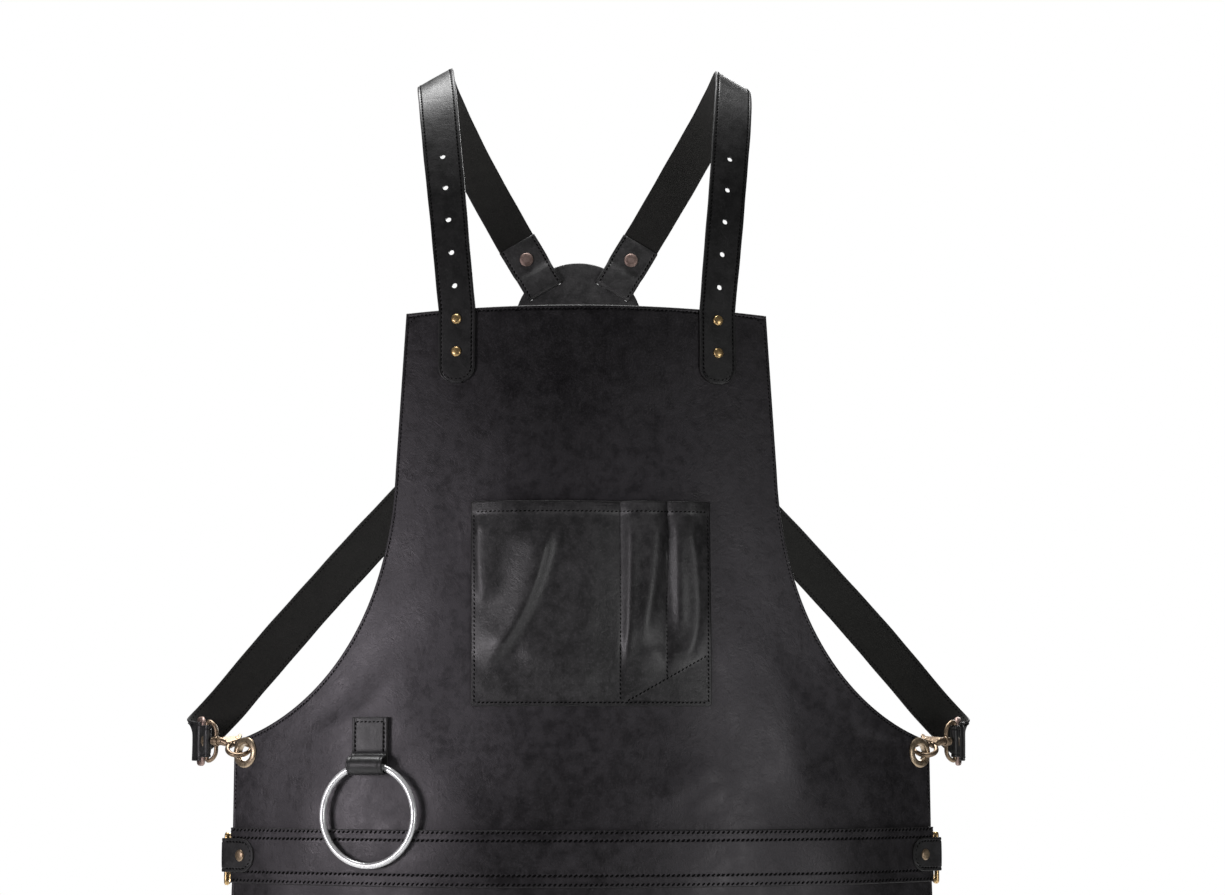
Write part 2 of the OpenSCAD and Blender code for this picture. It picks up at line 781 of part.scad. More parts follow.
pin_at = [9.2, -7.4];
pin_r = 1.1;
cheek = 3.2;
module hook_body(side) {
    color(old_brass)
        swivel_frame(side) {
            // Swivel post with its button inside the eye
            translate([-collar_half - 2, 0, 0])
                rotate([0, 90, 0])
                    cylinder(r = 3.3, h = 1.8);
            translate([-collar_half - 1, 0, 0])
                rotate([0, 90, 0])
                    cylinder(r = post_r, h = collar_half + 4);
            translate([collar_half + 0.2, 0, 0])
                rotate([0, 90, 0])
                    cylinder(r = 3.3, h = 4.4);
            jaw_frame() {
                difference() {
                    union() {
                        rotate([0, 90, 0])
                            cylinder(r1 = 3.5, r2 = 2.6, h = jaw_x - jaw_r);
                        translate([jaw_x - jaw_r, 0, 0])
                            sphere(r = 3);
                        // Cheek that carries the gate's pin
                        linear_extrude(height = 2 * cheek, center = true)
                            hull() {
                                translate([1.5, -1])
                                    circle(r = 2.4);
                                translate([7, 0])
                                    circle(r = 2);
                                translate(pin_at)
                                    circle(r = 2.6);
                            }
                        translate([jaw_x, 0, 0])
                            rotate([0, 0, -38])
                                rotate_extrude(angle = 218)
                                    translate([jaw_r, 0])
                                        circle(r = jaw_wire, $fn = 24);
                    }
                    // Slot between the cheeks for the gate, and the pin's bore
                    translate([pin_at[0] - 5.2, pin_at[1] - 8, -1.5])
                        cube([14, 12.6, 3]);
                    translate([pin_at[0], pin_at[1], 0])
                        cylinder(r = pin_r + 0.02, h = 20, center = true);
                }
            }
        }
}

gate_tip = [jaw_x + jaw_r * cos(-38) - 3.3, -7.6];
module hook_gate(side) {
    color(old_brass)
        swivel_frame(side)
            jaw_frame()
                difference() {
                    linear_extrude(height = 2.6, center = true)
                        union() {
                            hull() {
                                translate(pin_at)
                                    circle(r = 2.1);
                                translate(gate_tip)
                                    circle(r = 1);
                            }
                            hull() {
                                translate(pin_at)
                                    circle(r = 2.1);
                                translate(pin_at + [-2.6, -6.4])
                                    circle(r = 1.5);
                            }
                        }
                    translate([pin_at[0], pin_at[1], 0])
                        cylinder(r = pin_r + 0.04, h = 20, center = true);
                }
}

module gate_pin(side) {
    color(copper)
        swivel_frame(side)
            jaw_frame()
                translate([pin_at[0], pin_at[1], 0])
                    cylinder(r = pin_r, h = 2 * cheek + 0.6, center = true);
}

// ---- waist tabs and belt rings ----

tab_front_len = 27;
tab_u_end = waist_half - tab_front_len;
tab_z = -waist_top - waist_h / 2;
bar_u = waist_half + 5.7;
front_ply_r = band_r + panel_t + lap;
back_ply_r = body_r - panel_t - lap - tab_t;
tab_mid_r = (front_ply_r + tab_t + back_ply_r) / 2;
tab_fold_out = (front_ply_r + tab_t - back_ply_r) / 2;
tab_fold_in = tab_fold_out - tab_t;

// Places children at the belt ring's bar: Z up, Y out of the body
module belt_frame(side) {
    mirror([side < 0 ? 1 : 0, 0, 0])
        translate([0, arc_y, tab_z])
            rotate([0, 0, turn(bar_u)])
                translate([0, -tab_mid_r, 0])
                    children();
}

module tab_rivet_bore(side) {
    on_waist(side * (waist_half - 13), tab_z)
        cylinder(r = 1.65, h = 24, center = true);
}

// Plan of a strip folded round the bar: one side of it, from the front end round to the back end
ply_steps = 5;
fold_steps = 12;
function tab_side(fold_r) = concat(
    [for (i = [0:ply_steps]) tab_pt(mix(tab_u_end, bar_u, i / ply_steps), tab_mid_r + fold_r)],
    [for (i = [1:fold_steps - 1])
        let (a = 180 * i / fold_steps) tab_pt(bar_u + fold_r * sin(a), tab_mid_r + fold_r * cos(a))],
    [for (i = [ply_steps:-1:0]) tab_pt(mix(tab_u_end, bar_u, i / ply_steps), tab_mid_r - fold_r)]
);
function tab_pt(u, r) = [r * sin(turn(u)), arc_y - r * cos(turn(u))];
tab_inside = tab_side(tab_fold_in);

// One tab: a strip folded round the belt ring's bar, with the panels between its two plies
module waist_tab(side) {
    color(leather)
        difference() {
            mirror([side < 0 ? 1 : 0, 0, 0])
                intersection() {
                    translate([0, 0, tab_z - waist_tab_h / 2])
                        linear_extrude(height = waist_tab_h)
                            polygon(concat(
                                tab_side(tab_fold_out),
                                [for (i = [len(tab_inside) - 1:-1:0]) tab_inside[i]]
                            ));
                    tab_prism();
                }
            tab_rivet_bore(side);
        }
}

// Outline of a tab in the front view, with a half-round front end
module tab_prism() {
    x_end = arc_x(tab_u_end);
    x_out = arc_x(bar_u) + 2 * tab_fold_out;
    translate([0, 40, tab_z])
        rotate([90, 0, 0])
            linear_extrude(height = belly_y + 60)
                union() {
                    translate([x_end + waist_tab_h / 2, 0])
                        circle(r = waist_tab_h / 2);
                    translate([x_end + waist_tab_h / 2, -waist_tab_h / 2])
                        square([x_out - x_end - waist_tab_h / 2, waist_tab_h]);
                }
}

module waist_tab_rivet(side) {
    color(copper)
        on_waist(side * (waist_half - 13), tab_z) {
            translate([0, 0, -panel_t - lap - tab_t - 0.8])
                cylinder(r = 1.6, h = 2 * (panel_t + tab_t) + 3.6);
            translate([0, 0, front_ply_r + tab_t + 0.2 - body_r])
                rotate_extrude()
                    polygon([[0, 0], [4.4, 0], [4.6, 0.5], [3.9, 1.3], [0, 1.8]]);
            translate([0, 0, back_ply_r - body_r - 1.2])
                cylinder(r = 4.4, h = 0.9);
        }
}

// Belt ring: a D of brass wire whose straight side runs through the tab's loop
belt_half = 19.5;
belt_turn = 58;
module belt_ring(side) {
    color(bright_brass)
        belt_frame(side)
            translate([0, 0, -3])
                rotate([0, 0, belt_turn]) {
                    cylinder(r = belt_wire, h = 2 * belt_half, center = true);
                    for (end = [-1, 1])
                        translate([0, 0, end * belt_half])
                            sphere(r = belt_wire);
                    rotate([90, 0, 0])
                        rotate([0, 0, -90])
                            rotate_extrude(angle = 180)
                                translate([belt_half, 0])
                                    circle(r = belt_wire, $fn = 24);
                }
}

bib_panel();
waistband();
skirt_panel();
chest_pocket();
ring_loop();
tool_ring();
eyelet(-1);  // eyelet_left
eyelet(1);  // eyelet_right
eyelet_washer(-1);  // eyelet_washer_left
eyelet_washer(1);  // eyelet_washer_right
shoulder_strap(-1);  // shoulder_strap_left
shoulder_strap(1);  // shoulder_strap_right
strap_studs(-1);  // strap_studs_left
strap_studs(1);  // strap_studs_right
strap_stud_backs(-1);  // strap_stud_backs_left
strap_stud_backs(1);  // strap_stud_backs_right
back_yoke();
yoke_rivets(upper_fold, -upper_way);  // yoke_rivets_upper
yoke_rivets(lower_fold, lower_way);  // yoke_rivets_lower
lower_strap(-1);  // lower_strap_left
lower_strap(1);  // lower_strap_right
adjuster_buckle(-1);  // adjuster_buckle_left
adjuster_buckle(1);  // adjuster_buckle_right
hook_link(-1);  // hook_link_left
hook_link(1);  // hook_link_right
link_rivet(-1);  // link_rivet_left
link_rivet(1);  // link_rivet_right
swivel_eye(-1);  // swivel_eye_left
swivel_eye(1);  // swivel_eye_right
hook_body(-1);  // hook_body_left
hook_body(1);  // hook_body_right
hook_gate(-1);  // hook_gate_left
hook_gate(1);  // hook_gate_right
gate_pin(-1);  // gate_pin_left
gate_pin(1);  // gate_pin_right
waist_tab(-1);  // waist_tab_left
waist_tab(1);  // waist_tab_right
waist_tab_rivet(-1);  // waist_tab_rivet_left
waist_tab_rivet(1);  // waist_tab_rivet_right
belt_ring(-1);  // belt_ring_left
belt_ring(1);  // belt_ring_right
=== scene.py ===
"""Cross-back leather work apron: the visual model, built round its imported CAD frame.

Shapes are worked out in millimetres in the frame's own axes (X right, Y to the back, Z up), and
Shape.build turns them into metres.
"""

import json
import math
import random

import bpy
import numpy as np
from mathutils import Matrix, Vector


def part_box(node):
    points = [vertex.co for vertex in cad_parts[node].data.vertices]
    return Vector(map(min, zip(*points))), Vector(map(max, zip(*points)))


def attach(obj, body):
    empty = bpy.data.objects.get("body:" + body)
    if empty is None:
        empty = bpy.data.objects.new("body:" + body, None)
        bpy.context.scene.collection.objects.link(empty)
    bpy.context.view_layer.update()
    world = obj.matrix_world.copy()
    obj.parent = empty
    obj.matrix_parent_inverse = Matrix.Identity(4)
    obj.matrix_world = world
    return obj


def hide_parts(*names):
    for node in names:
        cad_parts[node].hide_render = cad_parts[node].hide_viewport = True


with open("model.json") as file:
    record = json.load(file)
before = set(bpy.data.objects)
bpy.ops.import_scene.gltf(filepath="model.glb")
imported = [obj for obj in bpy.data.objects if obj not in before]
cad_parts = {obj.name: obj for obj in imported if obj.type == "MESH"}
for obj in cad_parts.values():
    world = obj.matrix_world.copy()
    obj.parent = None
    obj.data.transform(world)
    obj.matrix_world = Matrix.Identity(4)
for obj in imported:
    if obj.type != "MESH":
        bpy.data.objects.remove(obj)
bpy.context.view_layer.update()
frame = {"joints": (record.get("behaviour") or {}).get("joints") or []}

MM = 0.001


# ---- vectors and curves ----

def unit(v):
    v = np.asarray(v, float)
    return v / np.linalg.norm(v, axis=-1, keepdims=True)


def mix(a, b, t):
    return a * (1 - t) + b * t


def smooth(t):
    t = np.clip(t, 0, 1)
    return t * t * (3 - 2 * t)


def bezier(p, t):
    p, t = np.asarray(p, float), np.asarray(t, float)[..., None]
    return ((1 - t) ** 3 * p[0] + 3 * (1 - t) ** 2 * t * p[1]
            + 3 * (1 - t) * t * t * p[2] + t ** 3 * p[3])


def run_along(points):
    """Distance along a polyline at each of its points."""
    return np.concatenate([[0], np.cumsum(np.linalg.norm(np.diff(points, axis=0), axis=1))])


def resample(points, step=None, count=None):
    """Points a step apart along a polyline, both ends included."""
    points = np.asarray(points, float)
    length = run_along(points)
    count = count or max(2, round(length[-1] / step) + 1)
    at = np.linspace(0, length[-1], count)
    return np.stack([np.interp(at, length, points[:, k]) for k in range(points.shape[1])], 1)


def arc(centre, radius, start, end, steps):
    """Points of a plane arc, angles in degrees."""
    a = np.radians(np.linspace(start, end, steps + 1))
    return [(centre[0] + radius * math.cos(x), centre[1] + radius * math.sin(x)) for x in a]


def straight(start, end, count):
    """Evenly spaced points of a plane line, both ends included."""
    return np.stack([np.linspace(start[k], end[k], count) for k in (0, 1)], 1)


def joint_at(name):
    """A joint's place in millimetres and its axis."""
    joint = next(j for j in frame["joints"] if j["name"] == name)
    return np.array(joint["pos_m"]) / MM, unit(joint["axis"])


def box(node):
    """A node's lowest and highest corners in millimetres."""
    low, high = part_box(node)
    return np.array(low) / MM, np.array(high) / MM


# ---- the surface that the apron follows ----

# The front is bent round BODY_R and lies BELLY_Y before the origin. Its bib leans back by LEAN.
BODY_R, BELLY_Y = 430, 130
LEAN = math.radians(3.5)

# Gap between two layers, and the thicknesses of the leathers
LAP = 0.3
PANEL_T, STRAP_T, TAB_T = 2.0, 2.6, 1.6

WAIST_LOW, WAIST_HIGH = (corner[2] for corner in box("waistband"))
HEM = box("skirt_panel")[0][2]
BIB_HIGH = box("bib_panel")[1][2]
BIB_LAP = 9
LEAN_Z = WAIST_HIGH - BIB_LAP / 2
WAIST_HALF = 309
BIB_HALF = 148
CROWN = 4.5
EYELET_U, EYELET_Z = 296, -558
STRAP_U = 105
STUD_Z = (-214, -240.5)
RING_U, RING_Z = -173.5, -568

# Broad waves of leather that isn't quite flat: [wavelength along, wavelength up, height, phase]
WAVES = [(310, 420, 1.5, 0.6), (170, -260, 0.8, 2.1), (-120, 190, 0.5, 4.0), (71, 133, 0.22, 1.2)]
# Hanging folds of the skirt: [height, length that one radian takes, phase]
HANGING = [(4.6, 31, 0.7), (2.6, 19, -1.3), (1.5, 53, 2)]

# Soft creases in the panels: [Bezier curve of u and z, height, width to the left and right]
CREASES = [
    ([(52, -598), (70, -590), (86, -580), (104, -561)], 1.6, 9, 14),
    ([(74, -604), (88, -600), (98, -592), (108, -580)], 1.1, 6, 10),
    ([(-60, -545), (-44, -572), (-38, -596), (-40, -618)], 1.5, 22, 12),
    ([(-215, -470), (-190, -520), (-150, -560), (-95, -590)], 0.6, 26, 30),
    ([(140, -420), (158, -480), (170, -540), (172, -610)], 1.4, 16, 24),
]

# The leather is even within CALM_EDGE of a side edge and above CALM_TOP, and waves fade in from there
CALM_EDGE, CALM_TOP = 26, -250


def fold(u, z, points, height, left, right, fade=0.3):
    """Soft fold of leather along a Bezier curve: left and right are the widths of its two flanks."""
    t = np.linspace(0, 1, 60)
    line = bezier(points, t)
    step = np.gradient(line, axis=0)
    length = np.linalg.norm(step, axis=1)
    way = step / length[:, None]
    du = u[..., None] - line[:, 0]
    dz = z[..., None] - line[:, 1]
    near = np.argmin(du * du + dz * dz, axis=-1)
    du, dz = (np.take_along_axis(d, near[..., None], -1)[..., 0] for d in (du, dz))
    across = way[near, 0] * dz - way[near, 1] * du
    along = t[near] + (way[near, 0] * du + way[near, 1] * dz) / (length[near] * len(t))
    ends = smooth(along / fade) * smooth((1 - along) / fade)
    return height * np.exp(-(across / np.where(across > 0, right, left)) ** 2) * ends


def bib_half(z):
    """Half of the bib's width at a level, along the leather."""
    right = bib_side()
    return np.interp(-z, -right[:, 1], right[:, 0])


def bib_side():
    """Right edge of the bib, from its top corner round the armhole to the waistband."""
    armhole = bezier([(156, -335), (161, -462), (225, -527), (WAIST_HALF - 7, -547)],
                     np.linspace(0, 1, 60))
    return np.array([(BIB_HALF, BIB_HIGH - CROWN), *armhole,
                     *arc((WAIST_HALF - 7, -554), 7, 75, 0, 5), (WAIST_HALF, WAIST_HIGH - BIB_LAP)])


def ripple(u, z):
    """How far the leather stands off the even curve; it fades out at the edges and the hardware."""
    u, z = np.asarray(u, float), np.asarray(z, float)
    off = sum(h * np.sin(2 * math.pi * (u / lu + z / lz) + p) for lu, lz, h, p in WAVES)
    for crease in CREASES:
        off = off + fold(u, z, *crease)
    side = np.where(z > WAIST_HIGH, bib_half(z), WAIST_HALF)
    return off * smooth((side - CALM_EDGE - np.abs(u)) / 45) * smooth((CALM_TOP - z) / 70)


def bib_point(u, z, off=0.0):
    """Point of the leaning bib at u along the leather and level z, off outwards from its front."""
    u, z = np.broadcast_arrays(np.asarray(u, float), np.asarray(z, float))
    off = off + ripple(u, z)
    r, turn = BODY_R + off, u / BODY_R
    y = BODY_R - r * np.cos(turn)
    h = (z - LEAN_Z + y * math.sin(LEAN)) / math.cos(LEAN)
    return np.stack([r * np.sin(turn), -BELLY_Y + y * math.cos(LEAN) + h * math.sin(LEAN), z], -1)


def skirt_fold(u, z):
    """How far the hanging folds stand out: they deepen towards the hem."""
    deep = smooth((WAIST_LOW - z) / (WAIST_LOW - HEM))
    swing = sum(height * np.sin(u / length + phase) for height, length, phase in HANGING)
    return deep * swing * smooth((WAIST_HALF + 30 - np.abs(u)) / 60)


def waist_point(u, z, off=0.0):
    """Point of the upright front at and below the waist, given as for bib_point."""
    u, z = np.broadcast_arrays(np.asarray(u, float), np.asarray(z, float))
    r = BODY_R + off + ripple(u, z) * smooth((z - HEM) / 300 + 0.3) + skirt_fold(u, z)
    turn = u / BODY_R
    return np.stack([r * np.sin(turn), BODY_R - BELLY_Y - r * np.cos(turn), z], -1)


def surface_axes(point, u, z, off):
    """Unit vectors along the leather and outwards from it."""
    x = unit(point(u + 1, z, off) - point(u - 1, z, off))
    y = point(u, z + 1, off) - point(u, z - 1, off)
    return x, unit(np.cross(x, y))


def surface_frame(point, u, z, off=0.0):
    """Place on a surface: columns are X along the leather, Y up it and Z outwards, then the point."""
    x, n = surface_axes(point, u, z, off)
    place = np.eye(4)
    place[:3, :4] = np.stack([x, np.cross(n, x), n, point(u, z, off)], 1)
    return place


def place_at(origin, x, z):
    """Place with its X and Z axes along two vectors."""
    z = unit(z)
    y = unit(np.cross(z, x))
    place = np.eye(4)
    place[:3, :4] = np.stack([np.cross(y, z), y, z, origin], 1)
    return place


def raised(height):
    """Place that lifts a piece along Z."""
    place = np.eye(4)
    place[2, 3] = height
    return place


# ---- meshes ----

# Material slots: grain side, cut edge, flesh side, and a paler grain side that is painted light on strap
# tails
GRAIN, EDGE, FLESH, TAIL_PAINTED_LIGHT_SLOT = range(4)


class Shape:
    """Points, faces, a material slot for each face and an edge value, 0 to 1, for each point."""

    def __init__(self, points, faces, slots=None, edge=None):
        self.points = np.asarray(points, float).reshape(-1, 3)
        self.faces = [tuple(int(i) for i in f) for f in faces]
        self.slots = list(slots) if slots is not None else [0] * len(self.faces)
        self.edge = np.zeros(len(self.points)) if edge is None else np.asarray(edge, float)

    def __add__(self, other):
        n = len(self.points)
        return Shape(np.concatenate([self.points, other.points]),
                     self.faces + [tuple(i + n for i in f) for f in other.faces],
                     self.slots + other.slots, np.concatenate([self.edge, other.edge]))

    def moved(self, place):
        return Shape(self.points @ place[:3, :3].T + place[:3, 3], self.faces, self.slots, self.edge)

    def mirrored(self):
        return Shape(self.points * [-1, 1, 1], [f[::-1] for f in self.faces], self.slots, self.edge)

    def on_side(self, side):
        return self if side > 0 else self.mirrored()

    def mesh_object(self, name):
        mesh = bpy.data.meshes.new(name)
        mesh.from_pydata((self.points * MM).tolist(), [], self.faces)
        piece = bpy.data.objects.new(name, mesh)
        bpy.context.scene.collection.objects.link(piece)
        return piece

    def build(self, name, body, materials, slot, replaces=(), sharp=40, cuts=()):
        """The finished piece, riding on its body. Edges over sharp degrees stay sharp."""
        piece = self.mesh_object(name)
        piece.data.polygons.foreach_set("material_index", self.slots)
        piece.data.attributes.new("edge", "FLOAT", "POINT").data.foreach_set("value", self.edge)
        for material in materials:
            piece.data.materials.append(material)
        for cut in cuts:
            carve(piece, cut)
        piece.data.shade_smooth()
        piece.data.set_sharp_from_angle(angle=math.radians(sharp))
        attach(piece, body)
        if replaces:
            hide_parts(*replaces)
        return piece


def joined(shapes):
    total = shapes[0]
    for shape in shapes[1:]:
        total = total + shape
    return total


def apply_modifiers(piece):
    graph = bpy.context.evaluated_depsgraph_get()
    done = bpy.data.meshes.new_from_object(piece.evaluated_get(graph))
    piece.modifiers.clear()
    piece.data = done


def carve(piece, shape):
    """Cuts a closed shape out of a piece."""
    cutter = shape.mesh_object("cutter")
    cut = piece.modifiers.new("cut", "BOOLEAN")
    cut.object, cut.operation, cut.solver = cutter, "DIFFERENCE", "EXACT"
    apply_modifiers(piece)
    bpy.data.objects.remove(cutter)


def cast(shape, voxel, passes):
    """One metal casting from overlapping shapes, with its inner corners rounded."""
    piece = shape.mesh_object("cast")
    remesh = piece.modifiers.new("remesh", "REMESH")
    remesh.mode, remesh.voxel_size = "VOXEL", voxel * MM
    soften = piece.modifiers.new("soften", "SMOOTH")
    soften.factor, soften.iterations = 0.5, passes
    apply_modifiers(piece)
    points = np.array([v.co for v in piece.data.vertices]) / MM
    faces = [tuple(p.vertices) for p in piece.data.polygons]
    bpy.data.objects.remove(piece)
    return Shape(points, faces)


def loft(rings, slots=None, edge=None, ring_loop=False):
    """Skin over rings of points, capped at both ends or closed on itself. slots are the material slots
    round one ring, and edge the edge values."""
    rings = np.asarray(rings, float)
    n, k = rings.shape[:2]
    slots = slots or [0] * k
    faces, face_slots = [], []
    for i in range(n if ring_loop else n - 1):
        a, b = i * k, (i + 1) % n * k
        for j in range(k):
            faces.append((a + j, a + (j + 1) % k, b + (j + 1) % k, b + j))
            face_slots.append(slots[j])
    if not ring_loop:
        faces += [tuple(range(k - 1, -1, -1)), tuple(range((n - 1) * k, n * k))]
        face_slots += [EDGE if max(slots) else 0] * 2
    edges = None if edge is None else np.tile(edge, n)
    return Shape(rings.reshape(-1, 3), faces, face_slots, edges)


def sweep(path, radius, sides=14, closed=False, up=(0, 0, 1)):
    """Round bar along a path."""
    path = np.asarray(path, float)
    way = np.roll(path, -1, 0) - np.roll(path, 1, 0) if closed else np.gradient(path, axis=0)
    way = unit(way)
    x = unit(np.cross(way, up))
    y = np.cross(way, x)
    a = np.linspace(0, 2 * math.pi, sides, endpoint=False)
    radius = np.broadcast_to(radius, len(path))[:, None, None]
    rings = (path[:, None] + radius * np.cos(a)[None, :, None] * x[:, None]
             + radius * np.sin(a)[None, :, None] * y[:, None])
    return loft(rings, ring_loop=closed)


def lathe(profile, segments=48):
    """Solid turned about Z from [radius, height] points; a profile that starts and ends off the axis
    is closed on itself."""
    a = np.linspace(0, 2 * math.pi, segments, endpoint=False)
    rings = [np.stack([max(r, 0.001) * np.cos(a), max(r, 0.001) * np.sin(a), h + 0 * a], 1)
             for r, h in profile]
    hollow = profile[0][0] > 0.01 and profile[-1][0] > 0.01
    return loft(rings, ring_loop=hollow)


def slab_levels(low, high, r):
    """Levels up a slab with rounded edges, and how far its outline is drawn in at each."""
    return [(low, r), (low + 0.3 * r, 0.3 * r), (low + r, 0),
            (high - r, 0), (high - 0.3 * r, 0.3 * r), (high, r)]


def block(low, high, round_r):
    """Box with rounded edges, as a loft of rounded rectangles."""
    low, high = np.array(low, float), np.array(high, float)
    rings = []
    for z, drawn_in in slab_levels(low[2], high[2], round_r):
        corners = [(high[0], high[1], 0), (low[0], high[1], 90), (low[0], low[1], 180),
                   (high[0], low[1], 270)]
        ring = []
        for x, y, start in corners:
            sx, sy = (1 if x == high[0] else -1), (1 if y == high[1] else -1)
            centre = (x - sx * (round_r + drawn_in), y - sy * (round_r + drawn_in))
            ring += [(*p, z) for p in arc(centre, round_r, start, start + 90, 4)]
        rings.append(ring)
    return loft(rings)


# ---- stitching ----

THREAD_PITCH = 3.4


def stitches(points, normals, pitch=THREAD_PITCH, length=2.5, width=1.1, slant=16, seed=1):
    """A row of thread stitches along a line of points."""
    both = np.concatenate([points, normals], 1)
    run = run_along(points)
    count = max(1, int(run[-1] / pitch))
    at = (np.arange(count) + 0.5) * run[-1] / count
    before, here, after = (np.stack([np.interp(at + d, run, both[:, k]) for k in range(6)], 1)
                           for d in (-0.5, 0, 0.5))
    chance = random.Random(seed)
    rings = [(-1, 0.25), (-0.8, 0.72), (-0.35, 1), (0.35, 1), (0.8, 0.72), (1, 0.25)]
    sides = 6
    around = [2 * math.pi * j / sides for j in range(sides)]
    made = []
    for k in range(count):
        centre, n = here[k, :3], unit(here[k, 3:])
        way = after[k, :3] - before[k, :3]
        way = unit(way - n * (way @ n))
        side = np.cross(n, way)
        a = math.radians(slant + chance.uniform(-3, 3))
        way, side = way * math.cos(a) + side * math.sin(a), side * math.cos(a) - way * math.sin(a)
        half = length * chance.uniform(0.94, 1.05) / 2
        made.append([[centre + way * x * half + side * math.cos(b) * r * width / 2
                      + n * (math.sin(b) * r * width * 0.3 + 0.1 - 0.2 * x * x) for b in around]
                     for x, r in rings])
    return joined_rings(made)


def joined_rings(lofts):
    """One shape from many lofts with the same number of rings and sides."""
    one = loft(lofts[0])
    size = len(one.points)
    faces = np.arange(len(lofts))
    return Shape(np.concatenate([np.reshape(r, (-1, 3)) for r in lofts]),
                 [tuple(i + size * int(k) for i in f) for k in faces for f in one.faces])


def surface_stitches(point, line, off, step=2.0, **more):
    """Stitches along a line of [u, z] on a surface, off from its front."""
    line = resample(line, step=step)
    u, z = line[:, 0], line[:, 1]
    _, normal = surface_axes(point, u, z, off)
    return stitches(point(u, z, off), normal, **more)


# ---- leather sheets and straps ----

# Across an edge, from the inside out: [distance from the edge, depth below the face]
GROOVE = [(4.4, 0), (3.8, 0.03), (3.3, 0.2), (2.8, 0.38), (2.3, 0.2), (1.8, 0.03), (1.3, 0)]
STITCH_IN = 2.8
PLAIN_EDGE = [(4.2, 0), (2.8, 0), (1.3, 0)]


def rim(thick, rounding):
    """Rounded edge from the front face to the back: [distance from the edge, depth]."""
    r = min(rounding, 0.42 * thick)
    turn = np.radians([0, 30, 60, 90])
    front = [(r * (1 - math.sin(a)), r * (1 - math.cos(a))) for a in turn]
    return front + [(d, thick - y) for d, y in front[::-1]]


def outward_normals(loop):
    """Mitred outward normals of a clockwise-drawn loop of [u, z] points."""
    along = unit(np.roll(loop, -1, 0) - loop)
    left = np.stack([-along[:, 1], along[:, 0]], 1)
    both = left + np.roll(left, 1, 0)
    return both / (1 + np.sum(left * np.roll(left, 1, 0), axis=1))[:, None]


def sheet(point, top, right, bottom, left, thick, stand=0.0, stitched=True, thickness=None):
    """Leather sheet between four lines of [u, z]: top runs left to right, right runs down, bottom
    runs left to right and left runs down. point(u, z, off) places it and stand lifts its back."""
    rows, cols = len(right), len(top)
    loop = np.concatenate([top, right[1:], bottom[::-1][1:], left[::-1][1:-1]])
    normal = outward_normals(loop)
    strip = GROOVE if stitched else PLAIN_EDGE
    inner = loop - normal * strip[0][0]
    corner = np.cumsum([0, cols - 1, rows - 1, cols - 1])
    edges = [inner[corner[0]:corner[1] + 1], inner[corner[1]:corner[2] + 1],
             inner[corner[2]:corner[3] + 1][::-1],
             np.concatenate([inner[corner[3]:], inner[:1]])[::-1]]
    s = np.linspace(0, 1, cols)[None, :, None]
    t = np.linspace(0, 1, rows)[:, None, None]
    upper, far, lower, near = edges[0][None], edges[1][:, None], edges[2][None], edges[3][:, None]
    grid = (mix(upper, lower, t) + mix(near, far, s)
            - mix(mix(upper[:, :1], upper[:, -1:], s), mix(lower[:, :1], lower[:, -1:], s), t))
    count, around = rows * cols, len(loop)
    index = np.arange(count).reshape(rows, cols)
    border = np.concatenate([index[0], index[1:, -1], index[-1, :-1][::-1], index[1:-1, 0][::-1]])
    full = (lambda uz: np.full(len(uz), thick)) if thickness is None else thickness

    flat = grid.reshape(-1, 2)
    front = point(flat[:, 0], flat[:, 1], stand + full(flat))
    back = point(flat[:, 0], flat[:, 1], stand)
    verts, edge = [front], [np.zeros(count)]
    rings = [border]
    total = count
    whole = full(loop)
    turned = rim(thick, 0.8)
    profile = [(d, y / thick) for d, y in strip[1:] + turned]
    for d, depth in profile + [(d, 1.0) for d, _ in strip[1:][::-1]]:
        uz = loop - normal * d
        groove = np.minimum(depth * thick, 0.5) if depth < 0.2 else depth * whole
        verts.append(point(uz[:, 0], uz[:, 1], stand + whole - groove))
        edge.append(np.full(around, smooth((2.0 - d) / 1.6)))
        rings.append(np.arange(total, total + around))
        total += around
    verts.append(back)
    edge.append(np.zeros(count))
    rings.append(border + total)
    faces, slots = [], []
    for i in range(rows - 1):
        for j in range(cols - 1):
            a, b, c, d = index[i, j], index[i, j + 1], index[i + 1, j + 1], index[i + 1, j]
            faces += [(a, d, c, b), (a + total, b + total, c + total, d + total)]
            slots += [GRAIN, FLESH]
    rim_from, rim_to = len(strip), len(strip) + len(turned) - 1
    for k in range(len(rings) - 1):
        kind = GRAIN if k < rim_from else EDGE if k < rim_to else FLESH
        a, b = rings[k], rings[k + 1]
        for j in range(around):
            m = (j + 1) % around
            faces.append((a[j], a[m], b[m], b[j]))
            slots.append(kind)
    return Shape(np.concatenate(verts), faces, slots, np.concatenate(edge))


def inset(line, distance):
    """An open line of [u, z], moved to its right."""
    way = unit(np.gradient(line, axis=0))
    return line + np.stack([way[:, 1], -way[:, 0]], 1) * distance


